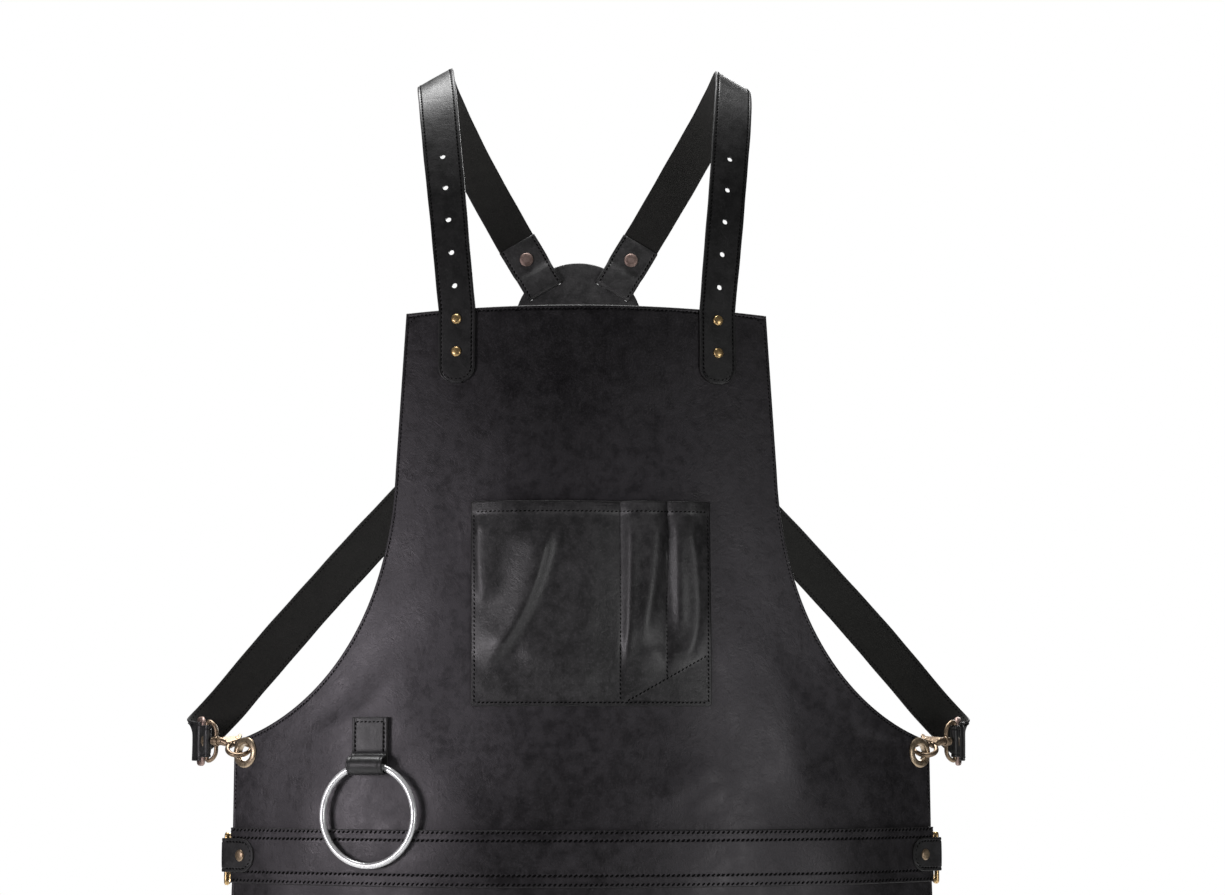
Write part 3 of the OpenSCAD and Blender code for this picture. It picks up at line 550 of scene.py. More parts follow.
class Strap:
    """A strap's stations: centre, way along, unit vector across, grain-side normal, half-width."""

    def __init__(self):
        self.rows = []

    def add(self, centre, way, across, half):
        way = unit(way)
        across = np.asarray(across, float)
        across = unit(across - way * (across @ way))
        self.rows.append((np.asarray(centre, float), way, across, -np.cross(way, across), half))

    def follow(self, curve, steps, across_from, across_to, half_from, half_to, skip_first=True,
               ease=True):
        """Stations along a Bezier curve."""
        ts = np.linspace(0, 1, steps + 1)[1 if skip_first else 0:]
        p = np.asarray(curve, float)
        for t in ts:
            way = ((1 - t) ** 2 * (p[1] - p[0]) + 2 * (1 - t) * t * (p[2] - p[1])
                   + t * t * (p[3] - p[2]))
            turned = float(smooth(t)) if ease else t
            self.add(bezier(p, t), way, mix(np.array(across_from), np.array(across_to), turned),
                     mix(half_from, half_to, t))

    def arrays(self):
        return [np.array([row[k] for row in self.rows]) for k in range(5)]

    def shape(self, thick, seed, wave=0.25, ends=(True, True), painted_light_from=None):
        """The strap's mesh, with a stitch groove along each edge and slightly uneven edges. From the
        station named by its last argument onwards, its grain side has a paler leather: painted light on the
        tail."""
        centre, way, across, grain, half = self.arrays()
        chance = random.Random(seed)
        phase = [chance.uniform(0, 6.28) for _ in range(4)]
        run = run_along(centre)
        ragged = [wave * (0.6 * np.sin(run / 17 + phase[k]) + 0.3 * np.sin(run / 6.1 + phase[k + 1]))
                  for k in (0, 2)]
        full = half.max()
        corner = rim(thick, 0.7)
        groove = [(STITCH_IN - 1.0, 0), (STITCH_IN - 0.5, 0.18), (STITCH_IN, 0.34),
                  (STITCH_IN + 0.5, 0.18), (STITCH_IN + 1.0, 0)]
        front = [(full - d, depth) for d, depth in corner[:4][::-1] + groove]
        middle = full - STITCH_IN - 1.6
        front += [(x, 0) for x in np.linspace(middle, 0, 6)]
        back = [(full - d, depth) for d, depth in corner[4:]]
        back += [(x, thick) for x in np.linspace(full - 2, 0, 5)]
        ring = [(-x, y) for x, y in front] + front[:-1][::-1] + back + [(-x, y) for x, y in back[:-1][::-1]]
        rings, slots, edge = [], [], []
        for x, depth in ring:
            side = 0 if x < 0 else 1
            place = x * half / full + np.sign(x) * ragged[side] * (half / full)
            cup = 0.3 * (x / full) ** 2
            rings.append(centre + across * place[:, None] + grain * (thick / 2 - depth - cup))
            edge.append(float(smooth((1.9 - full + abs(x)) / 1.6)))
        for (x0, y0), (x1, y1) in zip(ring, ring[1:] + ring[:1]):
            rim_face = min(abs(x0), abs(x1)) > full - 0.75
            slots.append(EDGE if rim_face else FLESH if min(y0, y1) > 0.9 * thick else GRAIN)
        rings = self.round_ends(np.stack(rings, 1), centre, way, grain, ends)
        strap = loft(rings, slots, edge)
        # From there on, the grain side takes the paler leather that is painted light
        if painted_light_from is not None:
            first = painted_light_from * len(ring)
            strap.slots[first:] = [TAIL_PAINTED_LIGHT_SLOT if slot == GRAIN else slot for slot in strap.slots[first:]]
        return strap

    @staticmethod
    def round_ends(rings, centre, way, grain, ends):
        """Adds two thinner rings at each end, so that its cut edge is rounded."""
        rings = list(rings)
        for last, wanted in ((0, ends[0]), (-1, ends[1])):
            if wanted:
                out = way[last] * (-1 if last == 0 else 1)
                height = (rings[last] - centre[last]) @ grain[last]
                extra = [rings[last] - np.outer(height * (1 - thin), grain[last]) + out * push
                         for push, thin in ((0.4, 0.85), (0.7, 0.5))]
                rings = extra[::-1] + rings if last == 0 else rings + extra
        return np.array(rings)

    def stitch_rows(self, thick, first, last, seed, flesh=False):
        """Stitches along both edges from one station to another, on the grain or the flesh side."""
        centre, way, across, grain, half = (a[first:last] for a in self.arrays())
        lift = thick / 2 - (0.05 if flesh else 0.27)
        normal = -grain if flesh else grain
        made = [stitches(centre + across * (side * (half - STITCH_IN))[:, None] + normal * lift, normal,
                         slant=14 * side, seed=seed + side) for side in (-1, 1)]
        return joined(made)


# ---- materials ----

class Tree:
    """A material's nodes."""

    def __init__(self, name):
        self.material = bpy.data.materials.new(name)
        self.material.use_nodes = True
        self.tree = self.material.node_tree
        self.tree.nodes.clear()
        self.place = self.node("TexCoord").outputs["Object"]

    def put(self, socket, value):
        """Links another node's output to a socket, or sets the socket's own value."""
        if isinstance(value, bpy.types.NodeSocket):
            self.tree.links.new(value, socket)
        else:
            socket.default_value = value

    def node(self, kind, **settings):
        """A new node: settings are its sockets' names, with _ for a space, or its properties."""
        node = self.tree.nodes.new("ShaderNode" + kind)
        for key, value in settings.items():
            socket = key.replace("_", " ")
            if socket in node.inputs:
                self.put(node.inputs[socket], value)
            else:
                setattr(node, key, value)
        return node

    def noise(self, scale, detail=4.0, rough=0.55, warp=0.0):
        return self.node("TexNoise", Vector=self.place, Scale=scale, Detail=detail, Roughness=rough,
                         Distortion=warp).outputs["Fac"]

    def cells(self, scale, feature="F1", spread=1.0):
        node = self.node("TexVoronoi", Vector=self.place, feature=feature, Scale=scale)
        node.inputs["Randomness"].default_value = spread
        return node.outputs["Distance"]

    def ramp(self, value, stops):
        """Colours by value: stops are [position, colour or grey]."""
        node = self.node("ValToRGB", Fac=value)
        elements = node.color_ramp.elements
        while len(elements) < len(stops):
            elements.new(0.5)
        for element, (position, colour) in zip(elements, stops):
            element.position = position
            element.color = (*([colour] * 3 if isinstance(colour, (int, float)) else colour), 1)
        return node.outputs["Color"]

    def span(self, value, low, high, start=0.0, end=1.0):
        """Value from start to end, mapped to low to high."""
        node = self.node("MapRange", Value=value)
        for key, number in (("From Min", start), ("From Max", end), ("To Min", low), ("To Max", high)):
            node.inputs[key].default_value = number
        return node.outputs["Result"]

    def math(self, operation, a, b):
        node = self.node("Math", operation=operation)
        for socket, value in zip(node.inputs, (a, b)):
            self.put(socket, value)
        return node.outputs["Value"]

    def weighted(self, first, *rest):
        """Sum of [value, weight] pairs."""
        term = self.math("MULTIPLY", *first)
        return self.math("ADD", term, self.weighted(*rest)) if rest else term

    def blend(self, amount, a, b):
        """From a to the plain colour b by amount."""
        a = a if isinstance(a, bpy.types.NodeSocket) else (*a, 1)
        return self.node("MixRGB", Fac=amount, Color1=a, Color2=(*b, 1)).outputs["Color"]

    def distance(self, centre):
        """Distance from a point of the model, in metres."""
        node = self.node("VectorMath", operation="DISTANCE")
        for socket, value in zip(node.inputs, (self.place, centre)):
            self.put(socket, value)
        return node.outputs["Value"]

    def bump(self, height, strength, distance, normal=None):
        node = self.node("Bump", Height=height, Strength=strength, Distance=distance)
        if normal:
            self.tree.links.new(normal, node.inputs["Normal"])
        return node.outputs["Normal"]

    def edge(self):
        """How near a point is to a cut edge, from the mesh."""
        return self.node("Attribute", attribute_name="edge").outputs["Fac"]

    def finish(self, color, roughness, normal=None, **constants):
        """The material, with its shader's other sockets set to constants."""
        shader = self.node("BsdfPrincipled", Base_Color=color, Roughness=roughness, **constants)
        if normal:
            self.tree.links.new(normal, shader.inputs["Normal"])
        out = self.node("OutputMaterial", Surface=shader.outputs["BSDF"])
        out.is_active_output = True
        return self.material


def leather(name, deep, pale, rough, grain, gloss, tint=(1.0, 1.0, 1.0), painted_light_patches=()):
    """Smooth waxed grain leather: cloudy colour, fine pores, faint creases, worn edges. Each patch is
    painted light where it is paler and painted shade where it is deeper: its centre, radius, amount and
    shade of the pale colour."""
    t = Tree(name)
    cloud = t.noise(6, 5, 0.62, 0.6)
    patch = t.noise(30, 5, 0.66, 0.3)
    mottle = t.noise(120, 5, 0.7)
    speck = t.noise(520, 3, 0.6)
    tone = t.weighted((cloud, 0.5), (patch, 0.3), (mottle, 0.2))
    color = t.ramp(tone, [(0.42, deep), (0.59, pale)])
    # Painted light and painted shade: each patch pales or deepens the colour round a fixed point of the
    # model
    for centre, radius, amount, shade in painted_light_patches:
        near = t.span(t.distance(centre), 0.0, amount, radius, 0.2 * radius)
        near = t.math("MULTIPLY", near, t.span(cloud, 0.6, 1.0, 0.35, 0.65))
        color = t.blend(near, color, [c * shade for c in pale])
    color = t.blend(t.span(speck, 0.0, 0.45, 0.5, 0.72), color, [c * 1.9 for c in pale])
    color = t.blend(t.span(mottle, 0.0, 0.4, 0.55, 0.4), color, [c * 0.4 for c in deep])
    color = t.blend(t.span(t.edge(), 0.0, 0.8), color, [c * 0.4 for c in deep])
    pores = t.cells(1150, "F1", 0.9)
    pebble = t.cells(560, "SMOOTH_F1", 1.0)
    crease = t.span(t.cells(130, "DISTANCE_TO_EDGE", 1.0), 0.0, 1.0, 0.0, 0.05)
    lines = t.noise(70, 7, 0.72, 1.4)
    normal = t.bump(t.weighted((pebble, 0.7), (pores, 0.3)), 0.30 * grain, 0.00028)
    normal = t.bump(t.math("MULTIPLY", crease, t.span(patch, 0.0, 1.0, 0.42, 0.62)), 0.12 * grain,
                    0.00025, normal)
    normal = t.bump(lines, 0.34 * grain, 0.0011, normal)
    roughness = t.span(t.weighted((patch, 0.55), (mottle, 0.45)), *rough, 0.38, 0.62)
    return t.finish(color, roughness, normal, Specular_IOR_Level=gloss, Specular_Tint=(*tint, 1),
                    Coat_Weight=0.04, Coat_Roughness=0.3)


def suede(name, deep, pale):
    """Brushed flesh side of the leather, with a short nap."""
    t = Tree(name)
    cloud = t.noise(60, 5, 0.7, 0.8)
    nap = t.noise(1500, 4, 0.75)
    fibre = t.noise(620, 3, 0.7, 1.5)
    color = t.ramp(t.weighted((cloud, 0.5), (fibre, 0.5)), [(0.34, deep), (0.7, pale)])
    color = t.blend(t.span(nap, 0, 0.4, 0.5, 0.8), color, [c * 1.9 for c in pale])
    normal = t.bump(fibre, 0.55, 0.0005)
    normal = t.bump(nap, 0.6, 0.00025, normal)
    return t.finish(color, t.span(cloud, 0.88, 1.0), normal, Specular_IOR_Level=0.2,
                    Sheen_Weight=0.12, Sheen_Roughness=0.6)


def burnished(name, colour):
    """Dyed and rubbed cut edge."""
    t = Tree(name)
    fibre = t.noise(900, 4, 0.7)
    streak = t.noise(160, 4, 0.6)
    color = t.ramp(streak, [(0.35, [c * 0.7 for c in colour]), (0.7, [c * 1.5 for c in colour])])
    return t.finish(color, t.span(fibre, 0.45, 0.75), t.bump(fibre, 0.4, 0.0003),
                    Specular_IOR_Level=0.45)


def thread_material():
    t = Tree("thread")
    ply = t.noise(1900, 2, 0.5)
    color = t.ramp(ply, [(0.35, (0.0015, 0.0015, 0.0015)), (0.7, (0.004, 0.004, 0.004))])
    return t.finish(color, t.span(ply, 0.7, 0.95), t.bump(ply, 0.5, 0.0002), Specular_IOR_Level=0.08)


def aged_metal(name, bright, patina, rough, cover):
    """Brass or copper with a dark patina that is rubbed bright where it stands proud. The more cover,
    the less of it is rubbed bright."""
    t = Tree(name)
    cloud = t.noise(260, 5, 0.65, 0.6)
    fine = t.noise(1500, 4, 0.6)
    scratch = t.noise(2600, 2, 0.5, 2.0)
    proud = t.span(t.node("NewGeometry").outputs["Pointiness"], 0.0, 1.0, 0.47, 0.58)
    rubbed = t.span(cloud, 0.0, 1.0, cover - 0.12, cover + 0.14)
    worn = t.weighted((proud, 0.75), (rubbed, 0.55))
    color = t.blend(t.span(worn, 0.0, 1.0, 0.1, 0.9), patina, bright)
    color = t.blend(t.span(fine, 0.0, 0.35, 0.55, 0.75), color, [c * 0.5 for c in patina])
    normal = t.bump(cloud, 0.12, 0.0004)
    normal = t.bump(scratch, 0.12, 0.0001, normal)
    return t.finish(color, t.span(cloud, *rough, 0.3, 0.7), normal, Metallic=0.82)


def polished_steel():
    t = Tree("polished_steel")
    smear = t.noise(180, 4, 0.6)
    hair = t.noise(3000, 2, 0.5, 3.0)
    color = t.ramp(smear, [(0.3, (0.80, 0.81, 0.82)), (0.7, (0.88, 0.88, 0.88))])
    return t.finish(color, t.span(smear, 0.20, 0.32, 0.3, 0.7), t.bump(hair, 0.02, 0.00002),
                    Metallic=0.45, Specular_IOR_Level=0.8)


# The panel leather's patches are painted shade at the bib's top and lower right, and painted light left and
# right of the middle at mid height
PANEL = leather("panel_leather", (0.0088, 0.0083, 0.0091), (0.0215, 0.0201, 0.0223), (0.34, 0.54), 1.0, 0.40,
                (1.0, 0.95, 1.0),
                [((0, -0.1, -0.24), 0.24, 0.85, 0.30), ((-0.2, -0.09, -0.45), 0.23, 0.95, 3.3),
                 ((0.1, -0.11, -0.45), 0.22, 0.85, 2.5), ((0.3, -0.05, -0.67), 0.22, 0.4, 0.6)])
# The pocket's leather is a paler copy of the panel's: painted light
POCKET_PAINTED_LIGHT = leather("pocket_leather", (0.0190, 0.0184, 0.0191), (0.0410, 0.0395, 0.0412), (0.34, 0.50),
                 0.9, 0.44)
# Paler copy of the strap leather for the folded tails on the yoke: painted light where the back of the apron
# lies in shade
TAIL_PAINTED_LIGHT = leather("strap_tail_painted_light", (0.040, 0.040, 0.040), (0.062, 0.061, 0.062), (0.40, 0.54), 0.7, 0.42)
# The yoke's leather is a paler copy of the apron's: painted light where the back lies in shade
YOKE_PAINTED_LIGHT = leather("yoke_leather", (0.042, 0.042, 0.043), (0.072, 0.071, 0.072), (0.40, 0.54), 0.9, 0.42)
STRAP = leather("strap_leather", (0.0095, 0.0095, 0.0096), (0.0165, 0.0160, 0.0165), (0.36, 0.5), 0.7, 0.4)
TAB = leather("tab_leather", (0.0130, 0.0128, 0.0132), (0.0250, 0.0245, 0.0255), (0.36, 0.5), 0.7, 0.44)
SUEDE = suede("suede", (0.0155, 0.0155, 0.0142), (0.0290, 0.0285, 0.0260))
PANEL_BACK = suede("panel_flesh", (0.0130, 0.0125, 0.0120), (0.022, 0.021, 0.0205))
RAW_EDGE = burnished("burnished_edge", (0.012, 0.0115, 0.0115))
THREAD = thread_material()
BRIGHT = aged_metal("bright_brass", (0.62, 0.43, 0.20), (0.28, 0.18, 0.09), (0.2, 0.38), cover=0.45)
EYELET = aged_metal("eyelet_brass", (0.46, 0.36, 0.25), (0.20, 0.15, 0.10), (0.24, 0.42), cover=0.46)
ANTIQUE = aged_metal("antique_brass", (0.42, 0.315, 0.21), (0.115, 0.080, 0.056), (0.28, 0.5), cover=0.58)
BROWN = aged_metal("aged_copper", (0.46, 0.34, 0.30), (0.22, 0.15, 0.13), (0.44, 0.64), cover=0.52)
STEEL = polished_steel()

SIDES = (("left", -1), ("right", 1))

# Depth of the thread in the panels' and the straps' grooves, and of a dome in the leather under it
PANEL_GROOVE, STRAP_GROOVE, SEATED = 0.24, 0.25, 0.05

PANEL_SKINS = [PANEL, RAW_EDGE, PANEL_BACK]
POCKET_SKINS = [POCKET_PAINTED_LIGHT, RAW_EDGE, PANEL_BACK]
STRAP_SKINS = [STRAP, RAW_EDGE, SUEDE, TAIL_PAINTED_LIGHT]
TAB_SKINS = [TAB, RAW_EDGE, SUEDE]


def sew(name, shape, slot="panel_leather"):
    return shape.build(name, "apron", [THREAD], slot, sharp=80)


# ---- bib ----

side = resample(bib_side(), count=170)
top_u = np.linspace(-BIB_HALF, BIB_HALF, 130)
BIB_TOP = np.stack([top_u, BIB_HIGH - CROWN * (top_u / BIB_HALF) ** 2], 1)
BIB_BOTTOM = np.stack([np.linspace(-WAIST_HALF, WAIST_HALF, 130), np.full(130, side[-1, 1])], 1)


def eyelet_cutter(u):
    """Hole for an eyelet."""
    return lathe([(0, -9), (7.5, -9), (7.5, 9), (0, 9)], 40).moved(
        surface_frame(bib_point, u, EYELET_Z))


bib = sheet(bib_point, BIB_TOP, side, BIB_BOTTOM, side * [-1, 1], PANEL_T, -PANEL_T)
bib = bib.build("bib_leather", "apron", PANEL_SKINS, "panel_leather", ["bib_panel"],
                cuts=[eyelet_cutter(EYELET_U), eyelet_cutter(-EYELET_U)])
bib_seam = np.concatenate([inset(side, STITCH_IN)[::-1][8:-3] * [-1, 1],
                           inset(BIB_TOP, STITCH_IN)[4:-4], inset(side, STITCH_IN)[3:-8]])
sew("bib_stitching", surface_stitches(bib_point, bib_seam, -PANEL_GROOVE, seed=3))


# ---- waistband and skirt ----

BAND_OFF = 0.7
BAND_ROWS = (WAIST_HIGH - 1.9, WAIST_HIGH - 8.0, WAIST_LOW + 9.2, WAIST_LOW + 2.3)
BAND_HALF = WAIST_HALF - 0.5


def band_point(u, z, off):
    """Point of the waistband, with a groove under each row of stitches."""
    groove = sum(np.exp(-((z - row) / 0.6) ** 2) for row in BAND_ROWS)
    return waist_point(u, z, off - np.where(off > BAND_OFF + 1, 0.3 * groove, 0))


band_ends = [straight((s * BAND_HALF, WAIST_HIGH), (s * BAND_HALF, WAIST_LOW), 70) for s in (-1, 1)]
band = sheet(band_point, straight((-BAND_HALF, WAIST_HIGH), (BAND_HALF, WAIST_HIGH), 240), band_ends[1],
             straight((-BAND_HALF, WAIST_LOW), (BAND_HALF, WAIST_LOW), 240), band_ends[0],
             PANEL_T, BAND_OFF, stitched=False)
band = band.build("waistband_leather", "apron", PANEL_SKINS, "panel_leather", ["waistband"])
sew("waistband_stitching", joined([
    surface_stitches(waist_point, straight((-BAND_HALF + 2, z), (BAND_HALF - 2, z), 300),
                     BAND_OFF + PANEL_T - 0.2, seed=10 + k, pitch=4.0, length=3.6, width=1.8,
                     slant=38)
    for k, z in enumerate(BAND_ROWS)]))

HEM_HALF, HEM_CORNER = 322, 60
SKIRT_TOP = WAIST_LOW + BIB_LAP
skirt_side = resample([(WAIST_HALF, SKIRT_TOP), *arc((HEM_HALF - HEM_CORNER, HEM + HEM_CORNER),
                                                     HEM_CORNER, 0, -90, 24)], count=150)
skirt = sheet(waist_point, straight((-WAIST_HALF, SKIRT_TOP), (WAIST_HALF, SKIRT_TOP), 200), skirt_side,
              straight((HEM_CORNER - HEM_HALF, HEM), (HEM_HALF - HEM_CORNER, HEM), 200),
              skirt_side * [-1, 1], PANEL_T, -PANEL_T)
skirt = skirt.build("skirt_leather", "apron", PANEL_SKINS, "panel_leather", ["skirt_panel"])
hem_line = np.concatenate([skirt_side * [-1, 1], straight((HEM_CORNER - HEM_HALF, HEM),
                                                         (HEM_HALF - HEM_CORNER, HEM), 200)[1:-1],
                           skirt_side[::-1]])
sew("skirt_stitching", surface_stitches(waist_point, inset(hem_line, -STITCH_IN)[10:-10],
                                        -PANEL_GROOVE, seed=20))


# ---- chest pocket ----

POCKET_T = 1.6
POCKET_LEFT, POCKET_RIGHT = -92.5, 97.5
SEAM_U, PEN_U = 25, 61.5
POCKET_HIGH, POCKET_LOW = -361, -522
POCKET_H = POCKET_HIGH - POCKET_LOW
HEM_ROW = 8.2
GAPE = 6.5

# Folds in the pocket's leather: [Bezier curve of u and z, height, width to the left and right]
POCKET_FOLDS = [
    ([(-30, -372), (-37, -418), (-50, -458), (-86, -494)], 5.4, 17, 7),
    ([(-84, -366), (-87, -392), (-84, -420), (-80, -446)], 2.2, 6, 13),
    ([(-2, -366), (2, -400), (0, -440), (-6, -480)], 1.6, 16, 12),
    ([(-58, -470), (-38, -488), (-14, -500), (10, -506)], 1.3, 9, 14),
    ([(32, -362), (33, -400), (33, -440), (27, -502)], 2.4, 4.5, 6),
    ([(56, -364), (55, -396), (49, -430), (38, -482)], 2.4, 9, 7),
    ([(67, -362), (69, -395), (71, -430), (72, -478)], 2.3, 4.5, 6.5),
    ([(76, -364), (83, -408), (94, -456), (74, -492)], 2.4, 8, 5.5),
    ([(40, -478), (56, -484), (72, -482), (86, -474)], 0.9, 6, 6),
]


def pen_foot(u):
    """How far down the pocket the slanting seam lies, 0 at the mouth and 1 at the foot."""
    return 1 - 0.25 * np.clip((u - SEAM_U) / (POCKET_RIGHT - SEAM_U), 0, 1)


def pocket_point(u, z, off=0.0):
    """Point of the pocket's leather, off outwards from its back."""
    s = np.clip((POCKET_HIGH - z) / POCKET_H, 0, 1)
    edges = [POCKET_LEFT, SEAM_U, PEN_U, POCKET_RIGHT]
    open_by, pinch = 0, 1
    for k, (a, b) in enumerate(zip(edges, edges[1:])):
        t = np.clip((u - a) / (b - a), 0, 1)
        down = s / (pen_foot(u) if k else 1)
        across = np.sin(math.pi * t) ** 0.75
        open_by = open_by + GAPE * across * np.clip(1 - down * down, 0, 1)
    for seam in edges:
        pinch = pinch * (1 - np.exp(-((u - seam) / 3.4) ** 2) * np.where(s > pen_foot(seam), 0, 1))
    slant = (s - pen_foot(u)) * POCKET_H
    pinch = pinch * np.where(u > SEAM_U, 1 - np.exp(-(slant / 4.0) ** 2), 1)
    pinch = pinch * smooth((1 - s) * POCKET_H / 9)
    creases = sum(fold(u, z, *crease, fade=0.22) for crease in POCKET_FOLDS)
    return bib_point(u, z, LAP + off + open_by + np.maximum(creases, 0) * pinch)


def pocket_full(uz):
    """The leather is turned over along the mouth, so it is double there."""
    return POCKET_T + 0.7 * smooth((uz[:, 1] - POCKET_HIGH + HEM_ROW + 2.5) / 3)


pocket_side = resample([(POCKET_RIGHT, POCKET_HIGH), *arc((POCKET_RIGHT - 3, POCKET_LOW + 3), 3, 0, -90, 5)],
                       count=120)
pocket_left = resample([(POCKET_LEFT, POCKET_HIGH), *[(POCKET_LEFT + 3 - x, POCKET_LOW + 3 - y) for x, y in
                                                     arc((0, 0), 3, 0, 90, 5)]], count=120)
pocket = sheet(pocket_point, straight((POCKET_LEFT, POCKET_HIGH), (POCKET_RIGHT, POCKET_HIGH), 170),
               pocket_side, straight(pocket_left[-1], pocket_side[-1], 170), pocket_left,
               POCKET_T, 0, stitched=False, thickness=pocket_full)
pocket = pocket.build("pocket_leather", "apron", POCKET_SKINS, "panel_leather", ["chest_pocket"])


def pocket_seam(line, seed, off=POCKET_T):
    return surface_stitches(pocket_point, line, off, step=1.2, seed=seed)


def seam_foot(u):
    """Level of the slanting seam."""
    return POCKET_HIGH - POCKET_H * float(pen_foot(np.array(u)))


hem_z = POCKET_HIGH - HEM_ROW
left_in, right_in, low_in = POCKET_LEFT + STITCH_IN, POCKET_RIGHT - STITCH_IN, POCKET_LOW + STITCH_IN
sew("pocket_stitching", joined([
    pocket_seam([(left_in + 2, hem_z), (right_in - 2, hem_z)], 30, POCKET_T + 0.5),
    pocket_seam([(left_in, hem_z + 5), (left_in, low_in)], 31),
    pocket_seam([(left_in + 2, low_in), (right_in - 2, low_in)], 32),
    pocket_seam([(right_in, low_in), (right_in, hem_z + 5)], 33),
    pocket_seam([(SEAM_U, hem_z + 6), (SEAM_U, low_in + 2)], 34),
    pocket_seam([(PEN_U, hem_z + 6), (PEN_U, seam_foot(PEN_U) + 2)], 35),
    pocket_seam([(SEAM_U + 5, seam_foot(SEAM_U + 5) + 1), (right_in - 1, seam_foot(right_in) + 1)], 36),
]))


# ---- eyelets ----

eyelet_profile = [
    (7.55, -3.4), (7.55, 0.2), (11.8, 0.15), (12.2, 0.3), (12.3, 0.62), (12.0, 1.05), (11.0, 1.6),
    (9.8, 2.02), (8.8, 2.15), (8.0, 2.05), (7.3, 1.7), (6.95, 1.2), (6.8, 0.5), (6.8, -3.6),
    (7.1, -4.0), (8.7, -4.0), (8.95, -3.7), (8.8, -3.4)]
washer_profile = [(11.2, -3.15), (11.5, -2.95), (11.5, -2.5), (11.2, -2.25), (7.8, -2.25), (7.62, -2.4),
                  (7.62, -3.0), (7.8, -3.15)]
for name, s in SIDES:
    seat = surface_frame(bib_point, s * EYELET_U, EYELET_Z)
    lathe(eyelet_profile, 64).moved(seat).build("eyelet_ring_" + name, "apron", [EYELET],
                                                "bright_brass", ["eyelet_" + name])
    lathe(washer_profile, 64).moved(seat).build("eyelet_back_" + name, "apron", [ANTIQUE],
                                                "antique_brass", ["eyelet_washer_" + name])


# ---- tool ring and its loop ----

RING_LOOP_W, RING_LOOP_TOP = 30, -531
RING_STAND, ROLL_MID = 8.8, 6.8
loop_seat = surface_frame(bib_point, RING_U, RING_Z)
patch_h = RING_LOOP_TOP - RING_Z
loop_path = np.concatenate([
    straight((patch_h, 3.5), (13, 3.5), 14),
    bezier([(13, 3.5, 0), (9, 3.5, 0), (ROLL_MID, 5.4, 0), (ROLL_MID, RING_STAND, 0)],
           np.linspace(0, 1, 8)[1:])[:, :2],
    [(ROLL_MID * math.cos(a), RING_STAND + ROLL_MID * math.sin(a))
     for a in np.radians(np.linspace(0, 270, 28)[1:])],
    straight((0.6, RING_STAND - ROLL_MID), (patch_h, 1.9), 12)])
loop_strap = Strap()
for (y, z), (way_y, way_z) in zip(loop_path, np.gradient(loop_path, axis=0)):
    place = loop_seat[:3, :3]
    loop_strap.add(loop_seat[:3, 3] + place[:, 1] * y + place[:, 2] * z,
                   place[:, 1] * way_y + place[:, 2] * way_z, -place[:, 0], RING_LOOP_W / 2)
loop_strap.shape(TAB_T, wave=0.12, seed=5).build("tool_ring_loop", "apron", TAB_SKINS, "tab_leather",
                                                 ["ring_loop"])
loop_rows = [[(x, patch_h - 3), (x, 10)] for x in (-12, 12)] + [[(-12, y), (12, y)]
                                                               for y in (patch_h - 3, 10)]
sew("tool_ring_loop_stitching", joined([
    stitches(np.array([(x, y, 4.25) for x, y in resample(row, step=2)]) @ loop_seat[:3, :3].T
             + loop_seat[:3, 3], np.tile(loop_seat[:3, 2], (len(resample(row, step=2)), 1)), seed=40 + k)
    for k, row in enumerate(loop_rows)]), "tab_leather")

hang, hang_axis = joint_at("tool_ring_swing")
ring_low, ring_high = box("tool_ring")
ring_centre = (ring_low + ring_high) / 2
RING_R, RING_WIRE = 39.2, 2.5
ring_seat = place_at(ring_centre, hang_axis, np.cross(hang_axis, unit(ring_centre - hang)))
sweep([(RING_R * math.cos(a), RING_R * math.sin(a), 0) for a in np.linspace(0, 2 * math.pi, 121)[:-1]],
      RING_WIRE, 24, closed=True).moved(ring_seat).build(
          "steel_tool_ring", "tool_ring", [STEEL], "polished_steel", ["tool_ring"])


# ---- shoulder straps ----

STRAP_HALF_FRONT, STRAP_HALF_BACK, LOWER_HALF = 15, 16.75, 17
STRAP_FOOT, FOOT_R, RISE_Z = -265, 13, -205
STRAP_OFF = LAP + STRAP_T / 2
YOKE_CENTRE = np.array([0, 115, -189.0])
YOKE_R, YOKE_T, YOKE_BAR = 56, 2.5, 44.4
BAR_FOLD_R = PANEL_T / 2 + 0.25 + LAP + STRAP_T / 2
UPPER_WAY = unit([-0.51, 0, -0.86])
UPPER_ACROSS = np.array([-UPPER_WAY[2], 0, UPPER_WAY[0]])
UPPER_SHIFT, LOWER_SHIFT = 9.5, 3.8
UPPER_FOLD = YOKE_CENTRE - UPPER_WAY * YOKE_BAR + UPPER_ACROSS * UPPER_SHIFT + [0, BAR_FOLD_R, 0]
LOWER_WAY = unit([0.68, 0, -0.733])
LOWER_ACROSS = np.array([-LOWER_WAY[2], 0, LOWER_WAY[0]])
LOWER_FOLD = YOKE_CENTRE + LOWER_WAY * YOKE_BAR + LOWER_ACROSS * LOWER_SHIFT + [0, BAR_FOLD_R, 0]
FOLD_LEN = 45
SHOULDER = np.array([124, 0, STRAP_T / 2])
TAIL_TURN = math.radians(3)


def folded_end(strap, start, way, inward, across, half, r, bar, reach, tail_half=None, tail_turn=0.0):
    """Stations of an end that turns round a bar towards inward and comes back over itself."""
    tail_half = tail_half or half
    for a in np.radians(np.linspace(0, 180, 17)):
        strap.add(start + way * (r * math.sin(a)) + inward * (r - r * math.cos(a)),
                  way * math.cos(a) + inward * math.sin(a), across, half)
    back = [(-mix(bar, bar + 10, t), mix(2 * r, STRAP_T + 0.12, float(smooth(t))))
            for t in np.linspace(0, 1, 8)[1:]]
    back += [(-x, STRAP_T + 0.12) for x in np.linspace(bar + 13, reach, 9)]
    for along, off in back:
        t = float(smooth((-along - bar) / 12))
        turned = across * math.cos(tail_turn * t) - way * math.sin(tail_turn * t)
        strap.add(start + way * along + inward * off, -way, turned, mix(half, tail_half, t))


